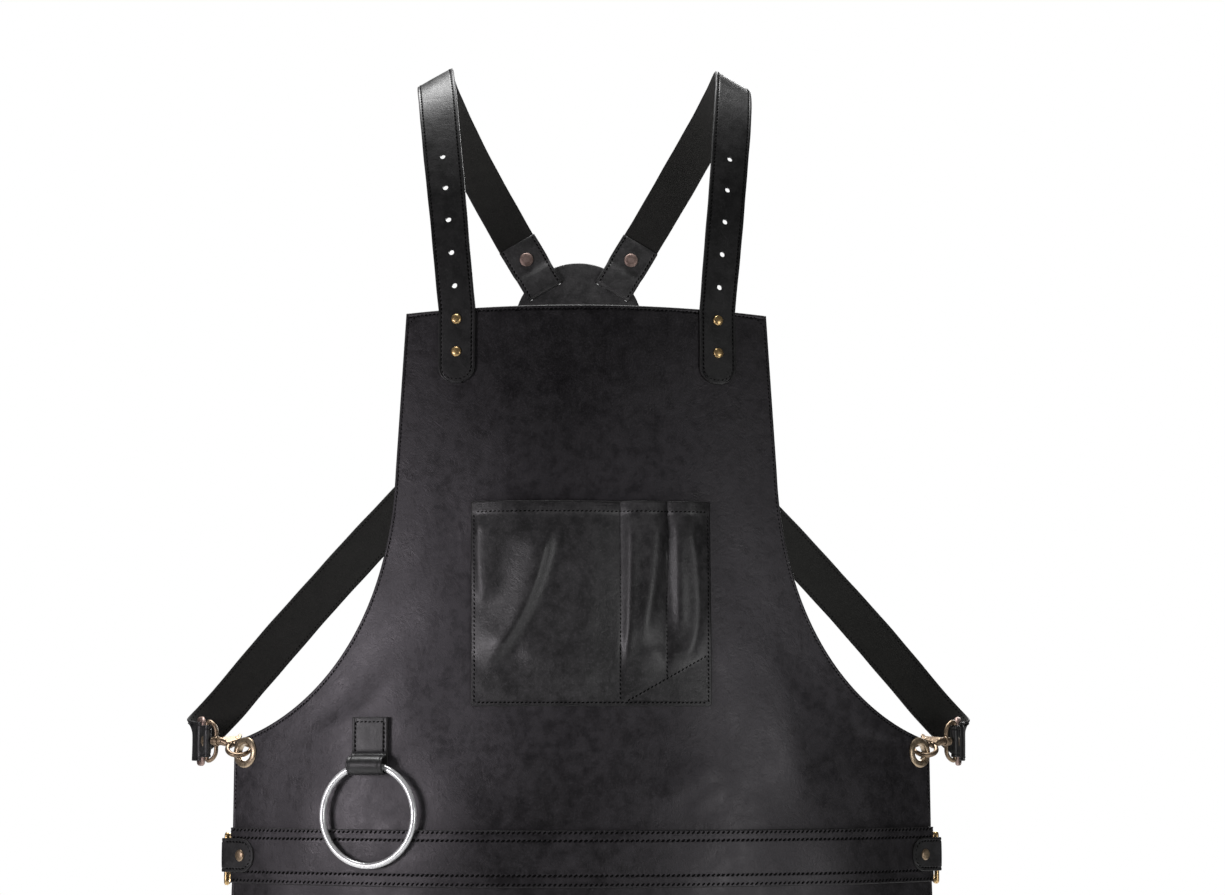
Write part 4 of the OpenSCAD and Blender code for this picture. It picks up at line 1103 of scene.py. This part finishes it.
# Curves of the strap from the bib up to the shoulder, and from there down the back
bib_across = surface_frame(bib_point, STRAP_U, STRAP_FOOT)[:3, 0]
rise_from = bib_point(STRAP_U, RISE_Z, STRAP_OFF)
rise_gain = (SHOULDER[0] - rise_from[0]) / (SHOULDER[2] - rise_from[2])
RISE = [rise_from, rise_from + [rise_gain * 120, 7.3, 120], SHOULDER - [0, 62, 0], SHOULDER]
drop_len = np.linalg.norm((UPPER_FOLD - SHOULDER)[[0, 2]])
DROP = [SHOULDER, SHOULDER + [0, 60, 0], UPPER_FOLD - UPPER_WAY * (drop_len * 0.62),
        UPPER_FOLD - UPPER_WAY * 38]

# Stations on the bib, closer together round the corners of the strap's foot
shoulder = Strap()
for d in [0.25, 0.7, 1.4, 2.4, 3.7, 5.3, 7.2, 9.3, 11.2, 13, *np.arange(15.5, 59, 2.5)]:
    half = STRAP_HALF_FRONT
    if d < FOOT_R:
        half += math.sqrt(FOOT_R ** 2 - (FOOT_R - d) ** 2) - FOOT_R
    z = STRAP_FOOT + d
    shoulder.add(bib_point(STRAP_U, z, STRAP_OFF), bib_point(STRAP_U, z + 1) - bib_point(STRAP_U, z),
                 bib_across, half)
foot_rows = len(shoulder.rows)
shoulder.follow(RISE, 90, bib_across, UPPER_ACROSS, STRAP_HALF_FRONT, STRAP_HALF_BACK, skip_first=False)
shoulder.follow(DROP, 60, UPPER_ACROSS, UPPER_ACROSS, STRAP_HALF_BACK, STRAP_HALF_BACK)
fold_from = len(shoulder.rows)
folded_end(shoulder, UPPER_FOLD, UPPER_WAY, np.array([0, -1, 0]), UPPER_ACROSS, STRAP_HALF_BACK,
           BAR_FOLD_R, 12, FOLD_LEN, STRAP_HALF_BACK + 0.7, TAIL_TURN)

# Adjustment holes: every 27.5 mm along the strap, starting at the upper stud
HOLE_R, HOLE_PITCH = 2.2, 27.5
rise_t = np.linspace(0, 1, 400)
rise_run = run_along(bezier(RISE, rise_t))
first_hole = HOLE_PITCH - (RISE_Z - STUD_Z[0])
punches = []
for k in range(5):
    t = float(np.interp(first_hole + k * HOLE_PITCH, rise_run, rise_t))
    way = bezier(RISE, np.array(t + 0.002)) - bezier(RISE, np.array(t - 0.002))
    out = np.cross(mix(bib_across, UPPER_ACROSS, float(smooth(t))), unit(way))
    punches.append(lathe([(0, -6), (HOLE_R, -6), (HOLE_R, 6), (0, 6)], 28).moved(
        place_at(bezier(RISE, np.array(t)), way, out)))
punches = joined(punches)

foot_seam = [(STRAP_U + x, STRAP_FOOT + y) for x, y in
             [(-12.2, 58), *arc((-2, FOOT_R), FOOT_R - STITCH_IN, 180, 270, 7),
              *arc((2, FOOT_R), FOOT_R - STITCH_IN, 270, 360, 7), (12.2, 58)]]

stud_profile = [(0, 0), (3.7, 0), (4.05, 0.22), (4.15, 0.6), (4.0, 1.1), (3.5, 1.65), (2.7, 2.05),
                (1.5, 2.28), (0, 2.34)]
stud_back = [(1.6, 0), (4.3, 0), (4.6, 0.25), (4.6, 1.0), (4.3, 1.25), (1.6, 1.3)]
for name, s in SIDES:
    # The tail's grain, from six stations into the fold onwards, has painted light
    shoulder.shape(STRAP_T, seed=7 + s, painted_light_from=fold_from + 6).on_side(s).build(
        "shoulder_strap_leather_" + name, "apron", STRAP_SKINS, "strap_leather",
        ["shoulder_strap_" + name], cuts=[punches.on_side(s)])
    seam = surface_stitches(bib_point, foot_seam, LAP + STRAP_T - STRAP_GROOVE, seed=50)
    seam = seam + shoulder.stitch_rows(STRAP_T, foot_rows - 1, fold_from, seed=51)
    seam = seam + shoulder.stitch_rows(STRAP_T, fold_from + 14, None, seed=55)
    sew("shoulder_strap_stitching_" + name, seam.on_side(s), "strap_leather")
    seats = [surface_frame(bib_point, s * STRAP_U, z, 0) for z in STUD_Z]
    domes = [lathe(stud_profile, 40).moved(seat @ raised(LAP + STRAP_T - SEATED)) for seat in seats]
    joined(domes).build("strap_domes_" + name, "apron", [BRIGHT], "bright_brass", ["strap_studs_" + name])
    backs = [lathe(stud_back, 32).moved(seat @ raised(-PANEL_T - 1.6)) for seat in seats]
    joined(backs).build("strap_dome_backs_" + name, "apron", [ANTIQUE], "antique_brass",
                        ["strap_stud_backs_" + name])


# ---- back yoke ----

SLOT_W = 4.0
yoke_flat = [8, 16, 24, 32, 40, 47, 52]
yoke_profile = ([(0, 0)] + [(r, 0) for r in yoke_flat] + [(YOKE_R - d, y) for d, y in rim(YOKE_T, 0.9)]
                + [(r, YOKE_T) for r in yoke_flat[::-1]] + [(0, YOKE_T)])
yoke = lathe(yoke_profile, 128).moved(place_at(YOKE_CENTRE + [0, YOKE_T, 0], (1, 0, 0), (0, -1, 0)))
slots = []
for way, across, shift, half in ((-UPPER_WAY, UPPER_ACROSS, UPPER_SHIFT, STRAP_HALF_BACK),
                                 (LOWER_WAY, LOWER_ACROSS, LOWER_SHIFT, LOWER_HALF)):
    cutter = block((-SLOT_W / 2, -half + 0.4, -9), (SLOT_W / 2, half - 0.4, 9), 1.2)
    middle = YOKE_CENTRE + way * (YOKE_BAR - SLOT_W / 2) + across * shift
    slot = cutter.moved(place_at(middle, way, (0, -1, 0)))
    slots += [slot, slot.mirrored()]
yoke.build("yoke_leather", "apron", [YOKE_PAINTED_LIGHT], "panel_leather", ["back_yoke"], cuts=[joined(slots)])

RIVET_UP = 29
rivet_dome = [(0, 0), (5.55, 0), (5.85, 0.22), (5.95, 0.6), (5.75, 1.0), (5.2, 1.32), (4.2, 1.6),
              (3.0, 1.82), (1.5, 1.95), (0, 2.0)]
rivet_back = [(0, 0), (5.1, 0), (5.4, 0.25), (5.4, 0.8), (5.0, 1.1), (2.6, 1.1), (2.2, 1.4), (0, 1.5)]
for level, fold_at, along in (("upper", UPPER_FOLD, -UPPER_WAY), ("lower", LOWER_FOLD, LOWER_WAY)):
    made = []
    for profile, y, out in ((rivet_dome, -STRAP_T * 1.5 - 0.15, -1), (rivet_back, STRAP_T / 2 + 0.05, 1)):
        made.append(lathe(profile, 48).moved(place_at(fold_at + along * RIVET_UP + [0, y, 0], (1, 0, 0),
                                                      (0, out, 0))))
    rivet = joined(made)
    (rivet + rivet.mirrored()).build("yoke_rivet_domes_" + level, "apron", [BROWN], "aged_copper",
                                     ["yoke_rivets_" + level])


# ---- side chain: lower strap, buckle, link ----

eye_bar, _ = joint_at("eye_swing_right")
swivel, _ = joint_at("hook_swivel_right")
eye_way = unit(swivel - eye_bar)
LINK_TURN = math.radians(75.5)
LINK_LEN, LINK_HALF, BUCKLE_GAP, BUCKLE_HALF, WIRE = 20, 13, 11, 18.3, 1.75
link_way = np.array([math.cos(LINK_TURN), math.sin(LINK_TURN), 0])
side_out = np.array([link_way[1], -link_way[0], 0])
buckle_bar = eye_bar + link_way * (LINK_LEN + BUCKLE_GAP)
BUCKLE_FOLD_R = WIRE + LAP + STRAP_T / 2
chain_seat = place_at(eye_bar, link_way, (0, 0, 1))

bend = np.array([292, 60, -514.0])
bend_way = unit([0.63, 0, -0.775])
turn_across = unit([0.775, 0, 0.63])
strap_in = buckle_bar + link_way * 14 + side_out * BUCKLE_FOLD_R
MAIN = [LOWER_FOLD + LOWER_WAY * 38, LOWER_FOLD + LOWER_WAY * 150, bend - bend_way * 125, bend]
TURN = [bend, bend + bend_way * 22, strap_in + link_way * 22, strap_in]

first = Strap()
folded_end(first, LOWER_FOLD, -LOWER_WAY, np.array([0, -1, 0]), LOWER_ACROSS, LOWER_HALF, BAR_FOLD_R,
           12, FOLD_LEN, LOWER_HALF + 0.6, TAIL_TURN)
lower = Strap()
lower.rows = [(p, -way, across, -np.cross(-way, across), half)
              for p, way, across, _, half in first.rows[::-1]]
tail_rows = len(lower.rows)
lower.follow(MAIN, 110, LOWER_ACROSS, turn_across, LOWER_HALF, LOWER_HALF, skip_first=False, ease=False)
lower.follow(TURN, 40, turn_across, np.array([0, 0, 1.0]), LOWER_HALF, LOWER_HALF - 1)
into_buckle = len(lower.rows)
folded_end(lower, buckle_bar + side_out * BUCKLE_FOLD_R, -link_way, -side_out, np.array([0, 0, 1.0]),
           LOWER_HALF - 1, BUCKLE_FOLD_R, 14, 34)

corner = 4.5
frame_line = [(x + corner * math.cos(a), 0, z + corner * math.sin(a))
              for x, z, start in ((LINK_LEN + 2 * BUCKLE_GAP - corner, BUCKLE_HALF - corner, 0),
                                  (LINK_LEN + corner, BUCKLE_HALF - corner, 90),
                                  (LINK_LEN + corner, corner - BUCKLE_HALF, 180),
                                  (LINK_LEN + 2 * BUCKLE_GAP - corner, corner - BUCKLE_HALF, 270))
              for a in np.radians(np.linspace(start, start + 90, 9))]
buckle = cast(sweep(resample(frame_line + frame_line[:1], step=0.8)[:-1], WIRE + 0.12, 16, closed=True,
                    up=(0, 1, 0))
              + sweep([(LINK_LEN + BUCKLE_GAP, 0, z) for z in np.linspace(-BUCKLE_HALF, BUCKLE_HALF, 30)],
                      WIRE, 16, up=(0, 1, 0)), 0.32, 3)

link_line = [(10, .85), (14.5, .85), (17.6, 2.3), (20, 2.85), (22.2, 1.95), (22.95, 0), (22.2, -1.95),
             (20, -2.85), (17.6, -2.3), (14.5, -.85), (5.5, -.85), (2.4, -2.3), (0, -2.85), (-2.2, -1.95),
             (-2.95, 0), (-2.2, 1.95), (0, 2.85), (2.4, 2.3), (5.5, .85), (9.6, .85)]
link_line = resample(link_line, step=1.1)
for _ in range(3):
    link_line[1:-1] = (link_line[:-2] + 2 * link_line[1:-1] + link_line[2:]) / 4
link = Strap()
for (x, y), (dx, dy) in zip(link_line, np.gradient(link_line, axis=0)):
    link.add(chain_seat[:3, :3] @ (x, y, 0) + chain_seat[:3, 3], chain_seat[:3, :3] @ (dx, dy, 0),
             (0, 0, 1), LINK_HALF)

small_dome = [(0, 0), (3.8, 0), (4.05, 0.2), (4.1, 0.55), (3.8, 0.95), (3.2, 1.25), (2.0, 1.5), (0, 1.6)]
link_rivets = joined([lathe(small_dome, 40).moved(
    chain_seat @ place_at((LINK_LEN / 2, y * (TAB_T + SEATED), 0), (1, 0, 0), (0, y, 0)))
    for y in (-1, 1)])

for name, s in SIDES:
    lower.shape(STRAP_T, seed=11 + s).on_side(s).build(
        "lower_strap_leather_" + name, "apron", STRAP_SKINS, "strap_leather", ["lower_strap_" + name])
    seam = lower.stitch_rows(STRAP_T, 0, 9, seed=60)
    seam = seam + lower.stitch_rows(STRAP_T, tail_rows, into_buckle, seed=62)
    seam = seam + lower.stitch_rows(STRAP_T, tail_rows, into_buckle, flesh=True, seed=64)
    sew("lower_strap_stitching_" + name, seam.on_side(s), "strap_leather")
    buckle.moved(chain_seat).on_side(s).build("slide_buckle_" + name, "apron", [BROWN], "antique_brass",
                                              ["adjuster_buckle_" + name], sharp=60)
    link.shape(TAB_T, wave=0.1, seed=13).on_side(s).build("link_leather_" + name, "apron", TAB_SKINS,
                                                          "tab_leather", ["hook_link_" + name])
    link_rivets.on_side(s).build("link_rivet_domes_" + name, "apron", [ANTIQUE], "aged_copper",
                                 ["link_rivet_" + name])


# ---- snap hooks ----

EYE_DEPTH, EYE_HALF = 9, 16
swivel_seat = place_at(swivel, eye_way, (0, 0, 1))
NECK, HOOK_DIP, HOOK_ROLL = 6.4, math.radians(20), math.radians(-30)
tilt = np.eye(4)
tilt[:3, :3] = [[math.cos(HOOK_DIP), 0, math.sin(HOOK_DIP)], [0, 1, 0],
                [-math.sin(HOOK_DIP), 0, math.cos(HOOK_DIP)]]
roll = np.eye(4)
roll[:3, :3] = [[1, 0, 0], [0, math.cos(HOOK_ROLL), -math.sin(HOOK_ROLL)],
                [0, math.sin(HOOK_ROLL), math.cos(HOOK_ROLL)]]
jaw_seat = place_at((NECK, 0, 0), (1, 0, 0), (0, 0, 1)) @ tilt @ roll
JAW_R, JAW_WIRE, JAW_X = 9.2, 2.0, 17.5
PIN = (9.2, -7.4)
CHEEK_IN, CHEEK = 1.55, 3.2
JAW_END = -38
GATE_TIP = (JAW_X + JAW_R * math.cos(math.radians(JAW_END)) - 3.3, -7.6)
along_x = place_at((0, 0, 0), (0, 0, -1), (1, 0, 0))


def taper(p0, r0, p1, r1):
    """Outline round two circles and their common tangents."""
    (x0, y0), (x1, y1) = p0, p1
    way = math.degrees(math.atan2(y1 - y0, x1 - x0))
    lean = math.degrees(math.acos((r0 - r1) / math.hypot(x1 - x0, y1 - y0)))
    return (arc(p1, r1, way - lean, way + lean, 12) + arc(p0, r0, way + lean, way + 360 - lean, 18))


def plate(outline, low, high, round_r=0.35):
    """Flat plate with rounded edges."""
    outline = np.array(outline)
    normal = outward_normals(outline[::-1])[::-1]
    rings = []
    for z, d in slab_levels(low, high, round_r):
        rings.append([(x, y, z) for x, y in outline - normal * d])
    return loft(rings)


eye_line = [(-EYE_DEPTH, 0, z) for z in np.linspace(-EYE_HALF + 1.5, EYE_HALF - 1.5, 30)]
eye_line += [(-EYE_DEPTH + 1.5 - 1.5 * math.cos(a), 0, EYE_HALF - 1.5 + 1.5 * math.sin(a))
             for a in np.radians([30, 60])]
eye_line += [(-EYE_DEPTH + EYE_DEPTH * math.sin(a), 0, EYE_HALF - EYE_DEPTH + EYE_DEPTH * math.cos(a))
             for a in np.radians(np.linspace(12, 90, 12))]
top_half = eye_line[15:]
eye_line = top_half + [(x, y, -z) for x, y, z in top_half[::-1]]
collar = lathe([(2.3, -2.2), (3.6, -2.2), (4.1, -1.7), (4.1, 1.7), (3.6, 2.2), (2.3, 2.2)], 40)
eye = cast(sweep(resample(eye_line + eye_line[:1], step=0.7)[:-1], WIRE, 16, closed=True, up=(0, 1, 0))
           + collar.moved(along_x), 0.28, 3)

jaw_turn = np.radians(np.linspace(184, JAW_END, 60))
jaw_width = JAW_WIRE * (1 - 0.28 * smooth((np.linspace(0, 1, 60) - 0.72) / 0.28))
jaw = sweep([(JAW_X + JAW_R * math.cos(a), JAW_R * math.sin(a), 0) for a in jaw_turn], jaw_width, 18)
shank = lathe([(0, 0), (3.2, 0), (3.5, 0.4), (3.1, 3), (2.7, 6), (2.9, 8.3), (2.6, 10), (0, 10.6)], 32)
shank = shank.moved(along_x)
cheeks = [plate(taper(root, 2.2, PIN, 2.6), *z, 0.3) for root in ((1.8, -1), (6.4, 0))
          for z in ((CHEEK_IN, CHEEK), (-CHEEK, -CHEEK_IN))]
jaw_parts = joined([jaw, shank, *cheeks]).moved(jaw_seat)
post = lathe([(0, -4.2), (2.9, -4.2), (3.3, -3.8), (3.3, -2.75), (2.9, -2.4), (2.1, -2.4), (2.1, 2.4),
              (3.0, 2.4), (3.35, 2.8), (3.35, 5.4), (3.0, 6.8), (0, 7.2)], 36).moved(along_x)
hook = cast(jaw_parts + post, 0.26, 3)
gate = cast(plate(taper(PIN, 2.1, GATE_TIP, 1.0), -1.3, 1.3)
            + plate(taper(PIN, 2.1, (PIN[0] - 2.6, PIN[1] - 6.4), 1.5), -1.3, 1.3), 0.24, 2).moved(jaw_seat)
pin_head = [(0, -3.6), (0.9, -3.6), (1.35, -3.35), (1.35, -3.2), (1.08, -3.15), (1.08, 3.15), (1.35, 3.2),
            (1.35, 3.35), (0.9, 3.6), (0, 3.6)]
pin = lathe(pin_head, 28).moved(jaw_seat @ place_at((*PIN, 0), (1, 0, 0), (0, 0, 1)))

for name, s in SIDES:
    eye.moved(swivel_seat).on_side(s).build("swivel_eye_wire_" + name, "swivel_eye_" + name, [ANTIQUE],
                                            "antique_brass", ["swivel_eye_" + name], sharp=60)
    hook.moved(swivel_seat).on_side(s).build("hook_casting_" + name, "snap_hook_" + name, [ANTIQUE],
                                             "antique_brass", ["hook_body_" + name], sharp=60)
    pin.moved(swivel_seat).on_side(s).build("gate_pin_rod_" + name, "snap_hook_" + name, [ANTIQUE],
                                            "aged_copper", ["gate_pin_" + name])
    gate.moved(swivel_seat).on_side(s).build("gate_lever_" + name, "hook_gate_" + name, [ANTIQUE],
                                             "antique_brass", ["hook_gate_" + name], sharp=60)


# ---- waist tabs and belt rings ----

TAB_HALF, TAB_LEN = 13.5, 27
TAB_Z = (WAIST_HIGH + WAIST_LOW) / 2
BAR_U = WAIST_HALF + 5.7
front_ply = BAND_OFF + PANEL_T + LAP
back_ply = -PANEL_T - LAP - TAB_T
tab_mid = (front_ply + TAB_T + back_ply) / 2
tab_bend = (front_ply + TAB_T - back_ply) / 2 - TAB_T / 2

# The tab's way from its rounded end at the front, round the belt ring's bar, and back behind
tab_path = [(u, tab_mid + tab_bend) for u in
            WAIST_HALF - TAB_LEN + np.array([0.3, 1, 2, 3.3, 5, 7, 9, 11, 13.5, 16, 19, 22, 25, 28, 30.5])]
tab_path += [(BAR_U + tab_bend * math.sin(a), tab_mid + tab_bend * math.cos(a))
             for a in np.radians(np.linspace(0, 180, 15))]
tab_path += [(u, off) for u, off in [(u, 2 * tab_mid - off) for u, off in tab_path[:15]][::-1]]


def plan_point(u, off):
    """Point at the tabs' level, off outwards from the even curve of the waist."""
    turn, r = u / BODY_R, BODY_R + off
    return np.array([r * math.sin(turn), BODY_R - BELLY_Y - r * math.cos(turn), TAB_Z])


tab_points = np.array([plan_point(u, off) for u, off in tab_path])
waist_tab = Strap()
for k, (centre, way) in enumerate(zip(tab_points, np.gradient(tab_points, axis=0))):
    d = tab_path[k][0] - WAIST_HALF + TAB_LEN
    half = math.sqrt(TAB_HALF ** 2 - (TAB_HALF - d) ** 2) if d < TAB_HALF else TAB_HALF
    waist_tab.add(centre, way, (0, 0, -1), half)
tab_curve = [(WAIST_HALF + 3, TAB_Z + TAB_HALF - STITCH_IN),
             *arc((WAIST_HALF - TAB_LEN + TAB_HALF, TAB_Z), TAB_HALF - STITCH_IN, 90, 270, 16),
             (WAIST_HALF + 3, TAB_Z - TAB_HALF + STITCH_IN)]
tab_rivet = [(0, 0), (4.2, 0), (4.5, 0.2), (4.6, 0.55), (4.3, 0.95), (3.6, 1.3), (2.2, 1.65), (0, 1.8)]

BELT_WIRE, BELT_HALF, BELT_TURN = 2.0, 19.5, math.radians(58)
belt_pos, _ = joint_at("belt_ring_swing_right")
belt_angle = BAR_U / BODY_R + BELT_TURN
belt_seat = place_at(belt_pos * [1, 1, 0] + [0, 0, TAB_Z - 3],
                     (math.cos(belt_angle), math.sin(belt_angle), 0), (0, 0, 1))
ring_line = [(0.0, 0.0, z) for z in np.linspace(-BELT_HALF, BELT_HALF, 40)]
ring_line += [(BELT_HALF * math.cos(a), 0, BELT_HALF * math.sin(a))
              for a in np.linspace(math.pi / 2, -math.pi / 2, 61)[1:-1]]
ring_line = resample(ring_line + ring_line[:1], step=0.9)[:-1]
for _ in range(3):
    ring_line = (np.roll(ring_line, 1, 0) + 2 * ring_line + np.roll(ring_line, -1, 0)) / 4
belt_ring = sweep(ring_line, BELT_WIRE, 18, closed=True, up=(0, 1, 0)).moved(belt_seat)

for name, s in SIDES:
    waist_tab.shape(TAB_T, wave=0.08, seed=15, ends=(False, False)).on_side(s).build(
        "waist_tab_leather_" + name, "apron", TAB_SKINS, "tab_leather", ["waist_tab_" + name])
    seam = surface_stitches(waist_point, tab_curve, front_ply + TAB_T - STRAP_GROOVE, seed=70)
    sew("waist_tab_stitching_" + name, seam.on_side(s), "tab_leather")
    seat = surface_frame(waist_point, s * (WAIST_HALF - 13), TAB_Z)
    front_dome = lathe(tab_rivet, 40).moved(seat @ raised(front_ply + TAB_T - SEATED))
    back_disc = lathe(small_dome, 40).moved(
        seat @ place_at((0, 0, back_ply + SEATED), (1, 0, 0), (0, 0, -1)))
    (front_dome + back_disc).build("waist_tab_rivet_domes_" + name, "apron", [ANTIQUE], "aged_copper",
                                   ["waist_tab_rivet_" + name])
    belt_ring.on_side(s).build("brass_belt_ring_" + name, "belt_ring_" + name, [BRIGHT], "bright_brass",
                               ["belt_ring_" + name])


# ---- floor, light and camera ----

# The floor's radius in metres, and how far below the hem it lies in millimetres
FLOOR_R, FLOOR_DROP = 1.1, 12
scene = bpy.context.scene


def floor_material():
    t = Tree("floor")
    soft = t.noise(3, 4, 0.5)
    return t.finish(t.ramp(soft, [(0.3, 0.80), (0.7, 0.84)]), 0.7)


floor = lathe([(0, -20), (FLOOR_R / MM, -20), (FLOOR_R / MM, 0), (0, 0)], 96)
floor = floor.moved(place_at((0, 0, HEM - FLOOR_DROP), (1, 0, 0), (0, 0, 1)))
floor = floor.mesh_object("floor")
floor.data.materials.append(floor_material())


def soft_box(name, place, target, width, height, power, colour=(1, 1, 1), spread=180):
    """Area light that looks from place to target; power is in watts and spread in degrees."""
    data = bpy.data.lights.new(name, "AREA")
    data.shape, data.size, data.size_y = "RECTANGLE", width, height
    data.energy, data.color, data.spread = power, colour, math.radians(spread)
    lamp = bpy.data.objects.new(name, data)
    lamp.location = place
    lamp.rotation_mode = "QUATERNION"
    lamp.rotation_quaternion = (Vector(target) - Vector(place)).to_track_quat("-Z", "Y")
    lamp.visible_camera = False
    scene.collection.objects.link(lamp)


soft_box("key", (-1.3, -1.0, -0.5), (-0.2, -0.1, -0.5), 0.5, 0.5, 3.2, (1.0, 0.95, 1.0), 110)
soft_box("overhead", (-0.2, 0.3, 1.5), (0, 0, -0.1), 1.2, 1.0, 78)
soft_box("fill", (1.3, -1.7, -0.7), (0.1, -0.1, -0.45), 0.6, 0.9, 9)
soft_box("back", (0.8, 2.6, 0.6), (0, 0, -0.4), 2.0, 1.6, 90)

# White behind the apron, and a dimmer grey in everything that reflects it
world = bpy.data.worlds.new("studio")
scene.world = world
world.use_nodes = True
nodes, links = world.node_tree.nodes, world.node_tree.links
nodes.clear()
sky = {}
for name, grey in (("seen", 1.0), ("lit", 0.06)):
    sky[name] = nodes.new("ShaderNodeBackground")
    sky[name].inputs["Color"].default_value = (grey, grey, grey, 1)
path_kind = nodes.new("ShaderNodeLightPath")
both = nodes.new("ShaderNodeMixShader")
links.new(path_kind.outputs["Is Camera Ray"], both.inputs["Fac"])
links.new(sky["lit"].outputs["Background"], both.inputs[1])
links.new(sky["seen"].outputs["Background"], both.inputs[2])
links.new(both.outputs["Shader"], nodes.new("ShaderNodeOutputWorld").inputs["Surface"])
scene.view_settings.view_transform = "Standard"

# The camera stands CAMERA_TURN round to the left of straight ahead, and looks by yaw and pitch
DISTANCE, CAMERA_Z = 2.43, -0.556
CAMERA_TURN = math.radians(2.0)
yaw, pitch = CAMERA_TURN + math.radians(0.57313), math.radians(5.85675)
data = bpy.data.cameras.new("camera")
data.sensor_width, data.lens = 36, 86.6645
camera = bpy.data.objects.new("camera", data)
camera.location = (-DISTANCE * math.sin(CAMERA_TURN), -DISTANCE * math.cos(CAMERA_TURN), CAMERA_Z)
camera.rotation_mode = "QUATERNION"
camera.rotation_quaternion = Vector((math.sin(yaw) * math.cos(pitch), math.cos(yaw) * math.cos(pitch),
                                     math.sin(pitch))).to_track_quat("-Z", "Y")
scene.collection.objects.link(camera)
scene.camera = camera
